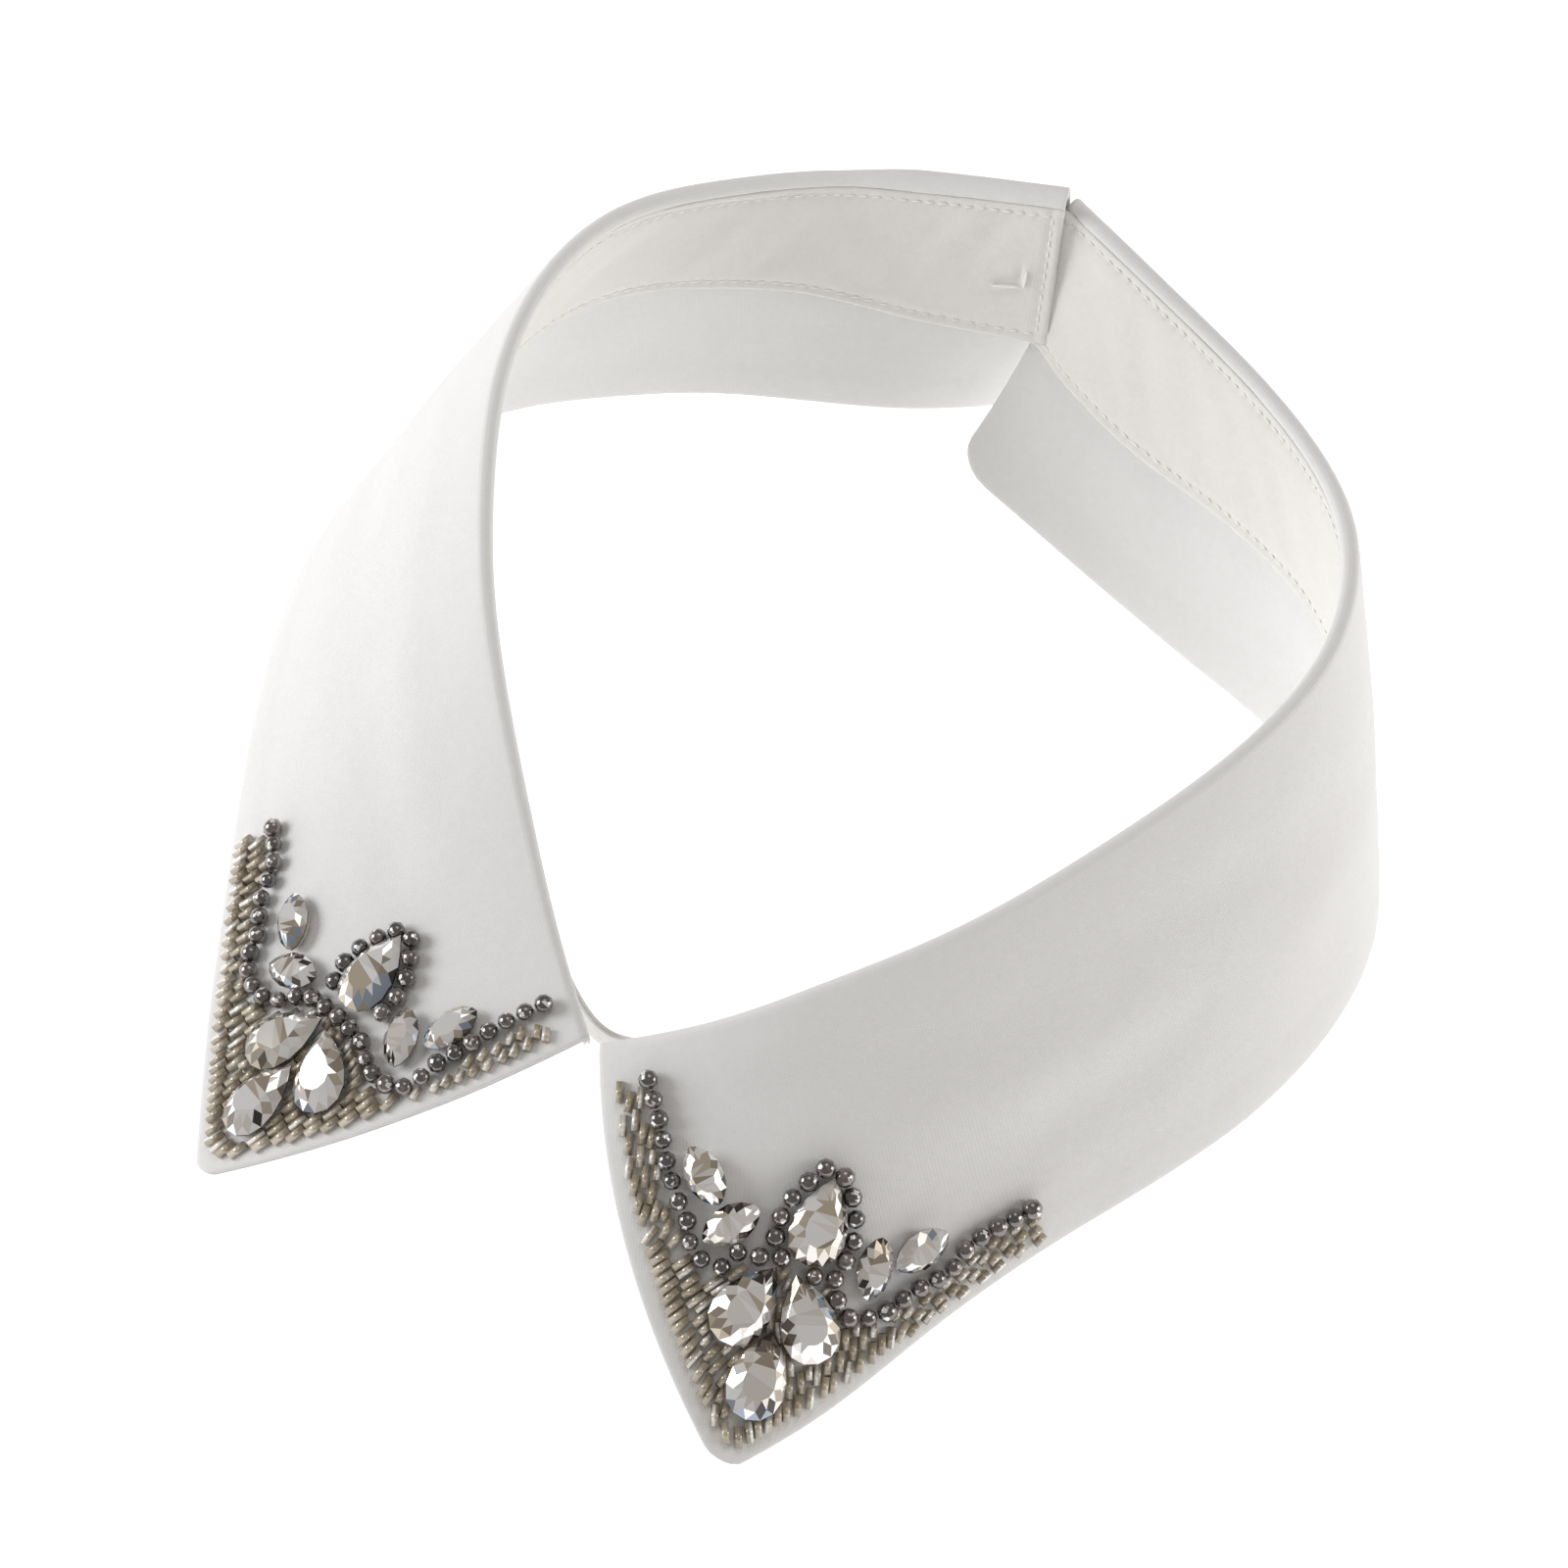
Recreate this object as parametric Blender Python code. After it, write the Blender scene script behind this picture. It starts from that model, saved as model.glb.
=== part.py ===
"""A detachable shirt collar that stands on its lower edge, buttoned at the back.

Two pointed leaves roll over a fold into a low band (the stand).  Beyond the right leaf the stand
goes on as a tab, which lies under the left end of the stand, where a small button holds it.  Each
point carries sewn-on stones: pears and navettes in a spray.  Left is -X and the points face -Y.
"""
import math
from collections import namedtuple

import bmesh
import bpy
import numpy as np
from mathutils import Matrix, Vector

MM = 0.001

# Cloth, in millimetres
LEAF_THICK = 1.1
STAND_THICK = 1.0
ROLL_RADIUS = 0.8          # from the fold's centre line to the middle of the cloth
TAB_ROOM = 0.6             # added to that radius where the left fold also holds the tab
TAB_ROOM_FROM = (10.0, 10.7)   # stations over which the fold widens
RIM_WIDTH = 1.1            # flat edge that rests on the table
LIP_LENGTH = 0.4           # leaf cloth that comes down inside the fold, to the seam
SEAM_GAP = 0.35
WALL_SHARES = (0.975, 0.75, 0.5, 0.25, 0.04)    # rows of the leaf between its edge and its fold
ROLL_STEPS = 6

# Corners of a leaf, seen flat
POINT_ANGLE = math.radians(58)
BACK_ANGLE = math.radians(92)
POINT_ROUND = {"left": 1.5, "right": 2.2}
BACK_ROUND = 4.5
FRONT_BOW = {"left": 2.6, "right": 4.0}    # the front edge bows out by this much
FRONT_BOW_REACH = 14.0

STATION_STEP = 16.6        # cloth between two rows, measured along the fold
LAST_STATION = 12.0
END_STEPS = (0.0, 0.3, 1.0, 2.0, 3.2, 4.8, 8.0)     # sections near an end, for its round corner
MIDDLE_SECTIONS = 36

# One row for every STATION_STEP of fold, from the centre front round to the centre back.
# fold_x, fold_y, fold_z: centre line of the roll; edge_x, edge_y: outer edge on the table.
LeafRow = namedtuple("LeafRow", "fold_x fold_y fold_z edge_x edge_y")
LEAF_ROWS = {
    "left": [LeafRow(*row) for row in (
        (0.0, -66.5, 21.5, -42.0, -102.5),
        (-12.5, -54.5, 22.5, -50.5, -87.5),
        (-24.0, -42.5, 26.0, -58.5, -72.0),
        (-34.5, -31.0, 31.0, -66.0, -56.5),
        (-44.5, -18.5, 35.5, -73.5, -40.5),
        (-53.0, -4.5, 39.5, -80.0, -24.0),
        (-59.5, 10.5, 42.5, -84.0, -7.0),
        (-62.0, 27.0, 43.5, -83.0, 10.5),
        (-58.5, 42.5, 43.0, -75.5, 26.5),
        (-48.5, 54.5, 42.0, -61.5, 39.5),
        (-35.5, 64.5, 41.5, -43.5, 50.5),
        (-20.0, 71.5, 42.0, -22.5, 60.0),
        (-4.5, 76.0, 44.0, -3.5, 72.5))],
    "right": [LeafRow(*row) for row in (
        (2.8, -66.5, 21.5, 44.0, -104.5),
        (16.5, -58.5, 28.0, 51.5, -89.5),
        (28.0, -47.5, 32.5, 57.0, -73.5),
        (38.5, -34.5, 35.0, 63.0, -57.5),
        (47.0, -20.5, 37.0, 70.5, -41.5),
        (54.5, -5.5, 39.0, 78.0, -25.0),
        (60.5, 10.0, 40.5, 82.5, -8.0),
        (63.0, 27.0, 41.5, 82.5, 9.5),
        (58.5, 43.0, 41.5, 75.5, 25.0),
        (48.0, 55.5, 39.5, 60.0, 35.5),
        (32.8, 64.9, 38.0, 39.0, 41.9),
        (16.3, 71.4, 38.3, 15.8, 48.4),
        (-3.2, 77.0, 41.7, -9.9, 56.0))],
}

# The stand is low at the front and full height behind.  A lean is towards the neck, in degrees,
# and a bow is how far the leaf swells out between fold and edge.
ShapeRow = namedtuple("ShapeRow", "station height left_lean right_lean left_bow right_bow")
SHAPE_ROWS = [ShapeRow(*row) for row in (
    (0, 4.0, -8, -8, 1.0, 1.0),
    (2, 8.0, -22, -22, 1.0, 1.2),
    (4, 12.0, -30, -28, 1.0, 1.5),
    (6, 15.5, -24, -20, 1.0, 1.5),
    (7, 17.0, -17, -12, 0.8, 1.2),
    (8, 18.0, -5, -3, 0.8, 0.8),
    (9, 17.5, 7, 15, 0.8, 0.8),
    (10, 19.5, 15, 26.5, 0.8, 1.5),
    (11, 23.5, 17, 28, 1.0, 3.0),
    (12, 24.5, 17, 21, 1.0, 5.2))]
FRONT_STAND_POINT = (1.5, -62.0, 19.2)      # its top where it rounds the centre front
STAND_SPACING = 5.2

# Back fastening
TAB_LENGTH = 21.0          # of the right stand, under the left one
TAB_START = 1.5            # past the left end, where it has come in under the left stand
TAB_BEND = (11.4, 11.85)   # stations of the right stand on its way in
TAB_DROP = 1.2
TAB_CLEARANCE = 0.35
BUTTON_DIAMETER = 10.5
BUTTON_THICK = 2.0
BUTTON_FROM_END = 7.5
BUTTON_DOWN = 13.0
BUTTON_SEAT = 0.75         # from the tab, which curves away behind the flat button
BUTTON_SWELL = 2.6         # how far the left leaf bulges over the button
BUTTON_SWELL_REACH = 9.0
BUTTON_BEVEL = 0.4
BUTTON_SIDES = 24

# Stones of each point.  out: from the corner along the line that halves it; aside: off that line,
# towards the front edge; turn: of the narrow end, from that line.  They are sewn on by hand, so
# the two sides differ a little.
StoneRow = namedtuple("StoneRow", "name kind out aside turn")
STONE_ROWS = {
    "left": [StoneRow(*row) for row in (
        ("pear_top", "pear", 37.2, 4.8, 1),
        ("pear_front", "pear", 21.8, 7.8, -36),
        ("pear_edge", "pear", 22.7, -0.9, 34),
        ("pear_point", "pear", 13.9, 2.2, 10),
        ("navette_front_high", "navette", 37.0, 20.0, 23),
        ("navette_front_low", "navette", 32.0, 14.7, -29),
        ("navette_edge_low", "navette", 30.8, -6.9, 76),
        ("navette_edge_high", "navette", 36.4, -12.0, -40))],
    "right": [StoneRow(*row) for row in (
        ("pear_top", "pear", 36.0, -1.0, 4),
        ("pear_front", "pear", 22.8, 4.2, -20),
        ("pear_edge", "pear", 23.3, -3.7, 34),
        ("pear_point", "pear", 14.3, -0.3, 1),
        ("navette_front_high", "navette", 36.9, 15.0, 46),
        ("navette_front_low", "navette", 31.9, 9.7, -41),
        ("navette_edge_low", "navette", 32.6, -10.2, 10),
        ("navette_edge_high", "navette", 37.2, -15.6, -36))],
}
PLANE_STATION = 2.5        # the spray's plane runs through the corner, here on the lower edge
PLANE_SHARE = 0.25         # and here on the front edge
SEARCH_START = (1.5, 0.7)  # station and share of the wall, from which a place on the leaf is sought
SEARCH_ROUNDS = 12
SEARCH_STEP = 0.01
StoneSize = namedtuple("StoneSize", "length width height sides")
STONE_SIZES = {"pear": StoneSize(12.5, 7.6, 3.4, 14), "navette": StoneSize(8.8, 4.6, 2.6, 12)}
STONE_LIFT = 0.45
BACK_SHARE = 0.78          # width of the flat back against the girdle
TABLE_SHARE = 0.52         # width of the table against the girdle
GIRDLE_LEVELS = (0.42, 0.52)    # lower and upper edge of the girdle against the stone's height

SMOOTH_UNDER = math.radians(35)
LEAF_COLOUR = (0.86, 0.86, 0.86)
STAND_COLOUR = (0.80, 0.79, 0.77)
BUTTON_COLOUR = (0.84, 0.83, 0.80)
STONE_COLOUR = (0.72, 0.72, 0.70)


def natural_spline(values):
    """A smooth curve through evenly numbered values, as a function of the number."""
    knots = np.array(values, float)
    count = len(knots)
    system = np.eye(count)
    bend = np.zeros_like(knots)
    for i in range(1, count - 1):
        system[i, i - 1:i + 2] = (1, 4, 1)
        bend[i] = 6 * (knots[i - 1] - 2 * knots[i] + knots[i + 1])
    second = np.linalg.solve(system, bend)

    def value_at(station):
        i = min(max(int(station), 0), count - 2)
        t = station - i
        return ((second[i] * (1 - t) ** 3 + second[i + 1] * t ** 3) / 6
                + (knots[i] - second[i] / 6) * (1 - t) + (knots[i + 1] - second[i + 1] / 6) * t)

    return value_at


LEAF_CURVES = {side: natural_spline(rows) for side, rows in LEAF_ROWS.items()}


def unit(vector):
    return vector / np.linalg.norm(vector)


def shape_at(side, station):
    """Height and lean of the stand and bow of the leaf at a station."""
    stations = [row.station for row in SHAPE_ROWS]

    def column(name):
        return np.interp(station, stations, [getattr(row, name) for row in SHAPE_ROWS])

    return column("height"), math.radians(column(side + "_lean")), column(side + "_bow")


def roll_radius(side, station):
    """Radius of the fold, wider where the tab lies inside it."""
    if side == "right":
        return ROLL_RADIUS
    start, stop = TAB_ROOM_FROM
    share = min(max((station - start) / (stop - start), 0), 1)
    return ROLL_RADIUS + TAB_ROOM * share * share * (3 - 2 * share)


def button_swell(side, station, down):
    """The left leaf's bulge over the button, at a distance down from the fold."""
    if side == "right":
        return 0.0
    across = (LAST_STATION - station) * STATION_STEP - BUTTON_FROM_END
    squared = (across ** 2 + (down - BUTTON_DOWN) ** 2) / BUTTON_SWELL_REACH ** 2
    return BUTTON_SWELL * math.exp(-squared)


Frame = namedtuple("Frame", "fold along out edge")


def fold_frame(side, station):
    """Where the fold is at a station, which way it runs and which way is outwards."""
    curve = LEAF_CURVES[side]
    step = 0.02
    here = curve(station)
    run = curve(min(station + step, LAST_STATION)) - curve(max(station - step, 0))
    along = unit(np.array((run[0], run[1], 0)))
    turn = -1 if side == "right" else 1
    out = turn * np.array((-along[1], along[0], 0))
    return Frame(here[:3], along, out, np.array((here[3], here[4], 0)))


def corner_trim(distance, radius, angle):
    """How much a round corner takes off the cloth at a distance from its end."""
    reach = radius / math.tan(angle / 2)
    if distance >= reach * math.sin(angle):
        return 0.0
    arc = math.sqrt(max(radius ** 2 - (radius - distance) ** 2, 0))
    return reach - arc - distance / math.tan(angle)


def leaf_trim(side, station):
    from_front = station * STATION_STEP
    from_back = (LAST_STATION - station) * STATION_STEP
    return (corner_trim(from_front, POINT_ROUND[side], POINT_ANGLE)
            + corner_trim(from_back, BACK_ROUND, BACK_ANGLE))


UP = np.array((0.0, 0.0, 1.0))


def leaf_wall(side, station, share, lift):
    """A point of the leaf: share 0 at the fold to 1 at the edge, lift off its middle."""
    frame = fold_frame(side, station)
    inner_edge = frame.edge - RIM_WIDTH * frame.out - frame.fold
    low = np.array((inner_edge @ frame.out, inner_edge[2]))
    half = LEAF_THICK / 2
    radius = roll_radius(side, station)
    for _ in range(3):         # the wall's middle lies half a thickness above its inner edge
        start_angle = math.atan2(low[1], low[0]) + math.acos(radius / np.hypot(*low))
        normal = np.array((math.cos(start_angle), math.sin(start_angle)))
        low = np.array((inner_edge @ frame.out, inner_edge[2])) + half * normal
    start = radius * normal
    length = np.linalg.norm(low - start)
    share = share * (1 - leaf_trim(side, station) / length)
    bow = shape_at(side, station)[2] * 4 * share * (1 - share)
    bow += button_swell(side, station, length * share)
    flat = start + (low - start) * share + (lift + bow) * normal
    skew = (inner_edge @ frame.along) * share
    front = FRONT_BOW[side] * 4 * share * (1 - share)
    skew -= front * math.exp(-station * STATION_STEP / FRONT_BOW_REACH)
    point = frame.fold + flat[0] * frame.out + flat[1] * UP + skew * frame.along
    return point, start_angle


def leaf_section(side, station):
    """The outline of the leaf's cloth, cut across the fold."""
    frame = fold_frame(side, station)
    half = LEAF_THICK / 2
    radius = roll_radius(side, station)
    lean = shape_at(side, station)[1]
    start_angle = leaf_wall(side, station, 0, 0)[1]
    end_angle = math.pi - lean
    angles = np.linspace(start_angle, end_angle, ROLL_STEPS)
    down = -math.sin(lean) * frame.out - math.cos(lean) * UP
    lip = frame.fold + LIP_LENGTH * down

    def around(angle, reach):
        return reach * (math.cos(angle) * frame.out + math.sin(angle) * UP)

    outside = [leaf_wall(side, station, share, half)[0] for share in WALL_SHARES]
    outside += [frame.fold + around(angle, radius + half) for angle in angles]
    outside.append(lip + around(end_angle, radius + half))
    inside = [leaf_wall(side, station, share, -half)[0] for share in WALL_SHARES]
    inside += [frame.fold + around(angle, radius - half) for angle in angles]
    inside.append(lip + around(end_angle, radius - half))
    inner_foot = leaf_wall(side, station, 1, -half)[0]
    if leaf_trim(side, station) == 0:
        inner_foot[2] = 0
    outer_foot = inner_foot + RIM_WIDTH * frame.out
    return [outer_foot] + outside + inside[::-1] + [inner_foot]


def spaced_stations():
    """Stations close together at the round corners and even between them."""
    front = [distance / STATION_STEP for distance in END_STEPS]
    back = [LAST_STATION - station for station in reversed(front)]
    middle = np.linspace(front[-1], back[0], MIDDLE_SECTIONS)
    return front + list(middle[1:-1]) + back


def loft(name, sections, cloth=True):
    """A closed skin over outlines that all have the same number of points.

    A cloth outline runs up its outer face and back down its inner one, so its ends close in strips.
    """
    mesh = bpy.data.meshes.new(name)
    shape = bmesh.new()
    rings = [[shape.verts.new(Vector(point) * MM) for point in section] for section in sections]
    count = len(rings[0])
    for ring, following in zip(rings, rings[1:]):
        for i in range(count):
            j = (i + 1) % count
            shape.faces.new((ring[i], ring[j], following[j], following[i]))
    for cap in (rings[0], rings[-1]):
        if cloth:
            for i in range(count // 2 - 1):
                shape.faces.new((cap[i], cap[i + 1], cap[count - 2 - i], cap[count - 1 - i]))
        else:
            shape.faces.new(cap)
    bmesh.ops.recalc_face_normals(shape, faces=shape.faces)
    shape.to_mesh(mesh)
    shape.free()
    return mesh


def material(name, colour, roughness, metallic=0.0):
    finish = bpy.data.materials.new(name)
    finish.use_nodes = True
    shader = finish.node_tree.nodes["Principled BSDF"]
    shader.inputs["Base Color"].default_value = (*colour, 1)
    shader.inputs["Roughness"].default_value = roughness
    shader.inputs["Metallic"].default_value = metallic
    return finish


def add_object(name, mesh, finish, collection):
    item = bpy.data.objects.new(name, mesh)
    mesh.materials.append(finish)
    collection.objects.link(item)
    mesh.shade_smooth()
    mesh.set_sharp_from_angle(angle=SMOOTH_UNDER)
    return item


def stand_line(side, station):
    """Top and bottom of the stand's middle, and the way its neck side faces."""
    frame = fold_frame(side, station)
    height, lean, _ = shape_at(side, station)
    down = -math.sin(lean) * frame.out - math.cos(lean) * UP
    face = -math.cos(lean) * frame.out + math.sin(lean) * UP
    top = frame.fold + roll_radius(side, station) * face + (LIP_LENGTH + SEAM_GAP) * down
    leaf = frame.edge - frame.fold
    down = down + (leaf @ frame.along) / np.linalg.norm(leaf) * frame.along
    return top, top + height * down, face


def resample(points, spacing):
    """Even points on the smooth curve through a few uneven ones."""
    points = np.array(points, float)
    curve = natural_spline(points)
    dense = np.array([curve(place) for place in np.linspace(0, len(points) - 1, 25 * len(points))])
    run = np.concatenate(([0], np.cumsum(np.linalg.norm(np.diff(dense[:, :2], axis=0), axis=1))))
    stops = np.linspace(0, run[-1], max(int(run[-1] / spacing), 2) + 1)
    return np.array([[np.interp(stop, run, dense[:, k]) for k in range(dense.shape[1])]
                     for stop in stops])


def stand_rows():
    """Top, bottom and facing all the way: left back, front, right back, then the tab."""
    from_back = np.arange(LAST_STATION, 0.5, -0.5)
    to_back = np.concatenate((from_back[:1:-1], TAB_BEND))
    rows = [np.concatenate(stand_line("left", station)) for station in from_back]
    low = np.array(FRONT_STAND_POINT) - SHAPE_ROWS[0].height * UP
    rows.append(np.concatenate((FRONT_STAND_POINT, low, (0, 1, 0))))
    rows += [np.concatenate(stand_line("right", station)) for station in to_back]
    tab_from = LAST_STATION - TAB_START / STATION_STEP
    tab_to = LAST_STATION - TAB_LENGTH / STATION_STEP
    for station in np.linspace(tab_from, tab_to, 3):
        top, bottom, face = stand_line("left", station)
        shift = TAB_DROP * unit(bottom - top) - (STAND_THICK + TAB_CLEARANCE) * face
        rows.append(np.concatenate((top + shift, bottom + shift, face)))
    return rows


def stand_mesh():
    sections = []
    for row in resample(stand_rows(), STAND_SPACING):
        top, bottom = row[:3], row[3:6]
        half = unit(row[6:9]) * STAND_THICK / 2
        spine = [top + (bottom - top) * share for share in (0, 0.5, 1)]
        sections.append([point + half for point in spine] + [point - half for point in spine[::-1]])
    return loft("stand", sections)


def spray_plane(side):
    """The point's corner, the line that halves it and the way from that line to the front edge."""
    frame = fold_frame(side, 0)
    corner = frame.edge - RIM_WIDTH * frame.out
    to_edge = unit(leaf_wall(side, PLANE_STATION, 1, LEAF_THICK / 2)[0] - corner)
    to_front = unit(leaf_wall(side, 0, PLANE_SHARE, LEAF_THICK / 2)[0] - corner)
    halving = unit(to_edge + to_front)
    return corner, halving, unit(to_front - (to_front @ halving) * halving)


def on_leaf(side, out, aside):
    """The place on the leaf's outer face over a place on the spray's plane, and the face's normal."""
    corner, halving, to_front = spray_plane(side)
    axes = np.stack((halving, to_front))
    place = np.array(SEARCH_START)
    for _ in range(SEARCH_ROUNDS):     # each round brings the place nearer
        here = leaf_wall(side, *place, LEAF_THICK / 2)[0]
        slopes = [(leaf_wall(side, *(place + step), LEAF_THICK / 2)[0] - here) / SEARCH_STEP
                  for step in SEARCH_STEP * np.eye(2)]
        miss = np.array((out, aside)) - axes @ (here - corner)
        place = place + np.linalg.solve(axes @ np.stack(slopes, axis=1), miss)
    normal = unit(np.cross(*slopes))
    return here, normal if normal[2] > 0 else -normal


def stone_outline(kind, size):
    """Half-width shares round a pear, narrow end at +X, or a navette with two narrow ends."""
    points = []
    for i in range(size.sides):
        angle = 2 * math.pi * i / size.sides
        x, y = math.cos(angle), math.sin(angle)
        if kind == "pear":
            y *= (1 - 0.5 * x - 0.5 * max(x, 0) ** 3) ** 0.75
        else:
            y *= abs(y) ** 0.45
        points.append((x * size.length / 2, y * size.width / 2))
    return points


def stone_mesh(name, kind):
    """Flat back, girdle, sloping crown and table."""
    size = STONE_SIZES[kind]
    outline = stone_outline(kind, size)
    low, high = GIRDLE_LEVELS
    levels = ((BACK_SHARE, 0.0), (1.0, low), (1.0, high), (TABLE_SHARE, 1.0))
    sections = [[(x * share, y * share, level * size.height) for x, y in outline]
                for share, level in levels]
    return loft(name, sections, cloth=False)


def place_stone(item, side, row):
    """Lay a stone on the leaf with its narrow end turned as the row says."""
    centre, normal = on_leaf(side, row.out, row.aside)
    halving, to_front = spray_plane(side)[1:]
    turn = math.radians(row.turn)
    narrow = Vector(math.cos(turn) * halving + math.sin(turn) * to_front)
    up = Vector(normal)
    narrow = (narrow - narrow.project(up)).normalized()
    axes = Matrix((narrow, up.cross(narrow), up)).transposed().to_4x4()
    item.matrix_world = Matrix.Translation(Vector(centre + STONE_LIFT * normal) * MM) @ axes


def button_object(finish, collection):
    """The button lies outside the tab, between it and the left leaf."""
    station = LAST_STATION - BUTTON_FROM_END / STATION_STEP
    top, bottom, face = stand_line("left", station)
    centre = top + unit(bottom - top) * BUTTON_DOWN
    centre -= face * (1.5 * STAND_THICK + TAB_CLEARANCE + BUTTON_SEAT + BUTTON_THICK / 2)
    mesh = bpy.data.meshes.new("back_button")
    shape = bmesh.new()
    radius = BUTTON_DIAMETER / 2 * MM
    bmesh.ops.create_cone(shape, cap_ends=True, segments=BUTTON_SIDES, radius1=radius, radius2=radius,
                          depth=BUTTON_THICK * MM)
    rim = [edge for edge in shape.edges if any(len(side.verts) > 4 for side in edge.link_faces)]
    bmesh.ops.bevel(shape, geom=rim, offset=BUTTON_BEVEL * MM, affect="EDGES", segments=1, profile=0.5,
                    material=-1)
    shape.to_mesh(mesh)
    shape.free()
    item = add_object("back_button", mesh, finish, collection)
    item.rotation_mode = "QUATERNION"
    item.rotation_quaternion = Vector((0, 0, 1)).rotation_difference(Vector(face))
    item.location = Vector(centre) * MM
    return item


def centre_on_floor(items):
    """Put the middle of the whole collar's box over the origin."""
    bpy.context.view_layer.update()
    corners = np.array([item.matrix_world @ vert.co for item in items for vert in item.data.vertices])
    middle = (corners.min(axis=0) + corners.max(axis=0)) / 2
    for item in items:
        item.matrix_world = Matrix.Translation((-middle[0], -middle[1], 0)) @ item.matrix_world


def main():
    for item in list(bpy.data.objects):
        bpy.data.objects.remove(item, do_unlink=True)
    collection = bpy.data.collections.new("detachable_collar")
    bpy.context.scene.collection.children.link(collection)
    leaf_cloth = material("leaf_cotton", LEAF_COLOUR, roughness=0.85)
    stand_cloth = material("stand_cotton", STAND_COLOUR, roughness=0.85)
    button_finish = material("button_resin", BUTTON_COLOUR, roughness=0.3)
    stone_finish = material("stone_crystal", STONE_COLOUR, roughness=0.05, metallic=0.2)
    items = []
    for side in ("left", "right"):
        sections = [leaf_section(side, station) for station in spaced_stations()]
        items.append(add_object("leaf_" + side, loft("leaf_" + side, sections), leaf_cloth, collection))
    items.append(add_object("stand", stand_mesh(), stand_cloth, collection))
    items.append(button_object(button_finish, collection))
    for side in ("left", "right"):
        for row in STONE_ROWS[side]:
            name = row.name + "_" + side
            stone = add_object(name, stone_mesh(name, row.kind), stone_finish, collection)
            place_stone(stone, side, row)
            items.append(stone)
    centre_on_floor(items)


main()
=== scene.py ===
import math
import random

import bmesh
import bpy
import numpy as np
from mathutils import Matrix, Vector
from mathutils.bvhtree import BVHTree


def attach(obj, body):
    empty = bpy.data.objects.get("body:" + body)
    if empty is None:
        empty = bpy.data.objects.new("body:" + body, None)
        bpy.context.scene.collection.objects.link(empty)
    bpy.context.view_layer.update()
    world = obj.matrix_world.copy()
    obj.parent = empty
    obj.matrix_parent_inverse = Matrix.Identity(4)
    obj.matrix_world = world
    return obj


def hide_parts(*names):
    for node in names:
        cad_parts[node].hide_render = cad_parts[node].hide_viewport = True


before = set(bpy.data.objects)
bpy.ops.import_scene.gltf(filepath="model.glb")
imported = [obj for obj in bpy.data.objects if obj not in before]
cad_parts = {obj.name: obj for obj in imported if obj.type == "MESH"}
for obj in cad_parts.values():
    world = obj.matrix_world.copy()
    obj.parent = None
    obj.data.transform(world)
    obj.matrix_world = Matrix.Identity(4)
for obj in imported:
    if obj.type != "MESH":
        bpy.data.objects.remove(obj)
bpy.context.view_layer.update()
mm = 0.001
up = np.array((0.0, 0.0, 1.0))
randomDraw = random.Random(7)
print("frame loaded:", len(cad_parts), "nodes")

# The cloth is drawn in millimetres about the middle of the neck and moved to the frame's origin.
clothPlace = {
    "moved": np.array((0.5372, 12.2091, 0.0)),
    "stationStep": 16.6,        # fold between two rows of the tables below
    "lastStation": 12.0,
}

# One row for each station, from the centre front to the centre back:
# fold x, y, z (centre of the roll) and edge x, y (where the leaf meets the table).
leafShape = {
    "left": (
        (0.0, -66.5, 21.5, -42.0, -102.5),
        (-12.5, -54.5, 22.5, -50.5, -87.5),
        (-24.0, -42.5, 26.0, -58.5, -72.0),
        (-34.5, -31.0, 31.0, -66.0, -56.5),
        (-44.5, -18.5, 35.5, -73.5, -40.5),
        (-53.0, -4.5, 39.5, -80.0, -24.0),
        (-59.5, 10.5, 42.5, -84.0, -7.0),
        (-62.0, 27.0, 43.5, -83.0, 10.5),
        (-58.5, 42.5, 43.0, -75.5, 26.5),
        (-48.5, 54.5, 42.0, -61.5, 39.5),
        (-35.5, 64.5, 41.5, -43.5, 50.5),
        (-20.0, 71.5, 42.0, -22.5, 60.0),
        (-4.5, 76.0, 44.0, -3.5, 72.5)),
    "right": (
        (2.8, -66.5, 21.5, 44.0, -104.5),
        (16.5, -58.5, 28.0, 51.5, -89.5),
        (28.0, -47.5, 32.5, 57.0, -73.5),
        (38.5, -34.5, 35.0, 63.0, -57.5),
        (47.0, -20.5, 37.0, 70.5, -41.5),
        (54.5, -5.5, 39.0, 78.0, -25.0),
        (60.5, 10.0, 40.5, 82.5, -8.0),
        (63.0, 27.0, 41.5, 82.5, 9.5),
        (58.5, 43.0, 41.5, 75.5, 25.0),
        (48.0, 55.5, 39.5, 60.0, 35.5),
        (32.8, 64.9, 38.0, 39.0, 41.9),
        (16.3, 71.4, 38.3, 15.8, 48.4),
        (-3.2, 77.0, 41.7, -9.9, 56.0)),
    "rollRadius": 0.8,          # fold's centre to the middle of the cloth
    "tabRoom": 0.6,             # more of it where the left fold also holds the tab
    "tabRoomFrom": (10.0, 10.7),
    "rimWidth": 1.1,
    "lipLength": 0.4,           # leaf cloth inside the fold, down to the stand's seam
    "pointAngle": math.radians(58),
    "backAngle": math.radians(92),
    "pointRound": {"left": 1.5, "right": 2.2},
    "backRound": 4.5,
    "frontBow": {"left": 2.6, "right": 4.0},
    "frontBowReach": 14.0,
    "backReach": {"left": 0.0, "right": 1.0},       # the fold's end goes on to meet the other one
    "backReachFrom": 11.5,
    "backReachDown": 8.0,
    "buttonSwell": (2.6, 9.0, 7.5, 13.0),   # height, reach, from the back end, down from the fold
}

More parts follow.
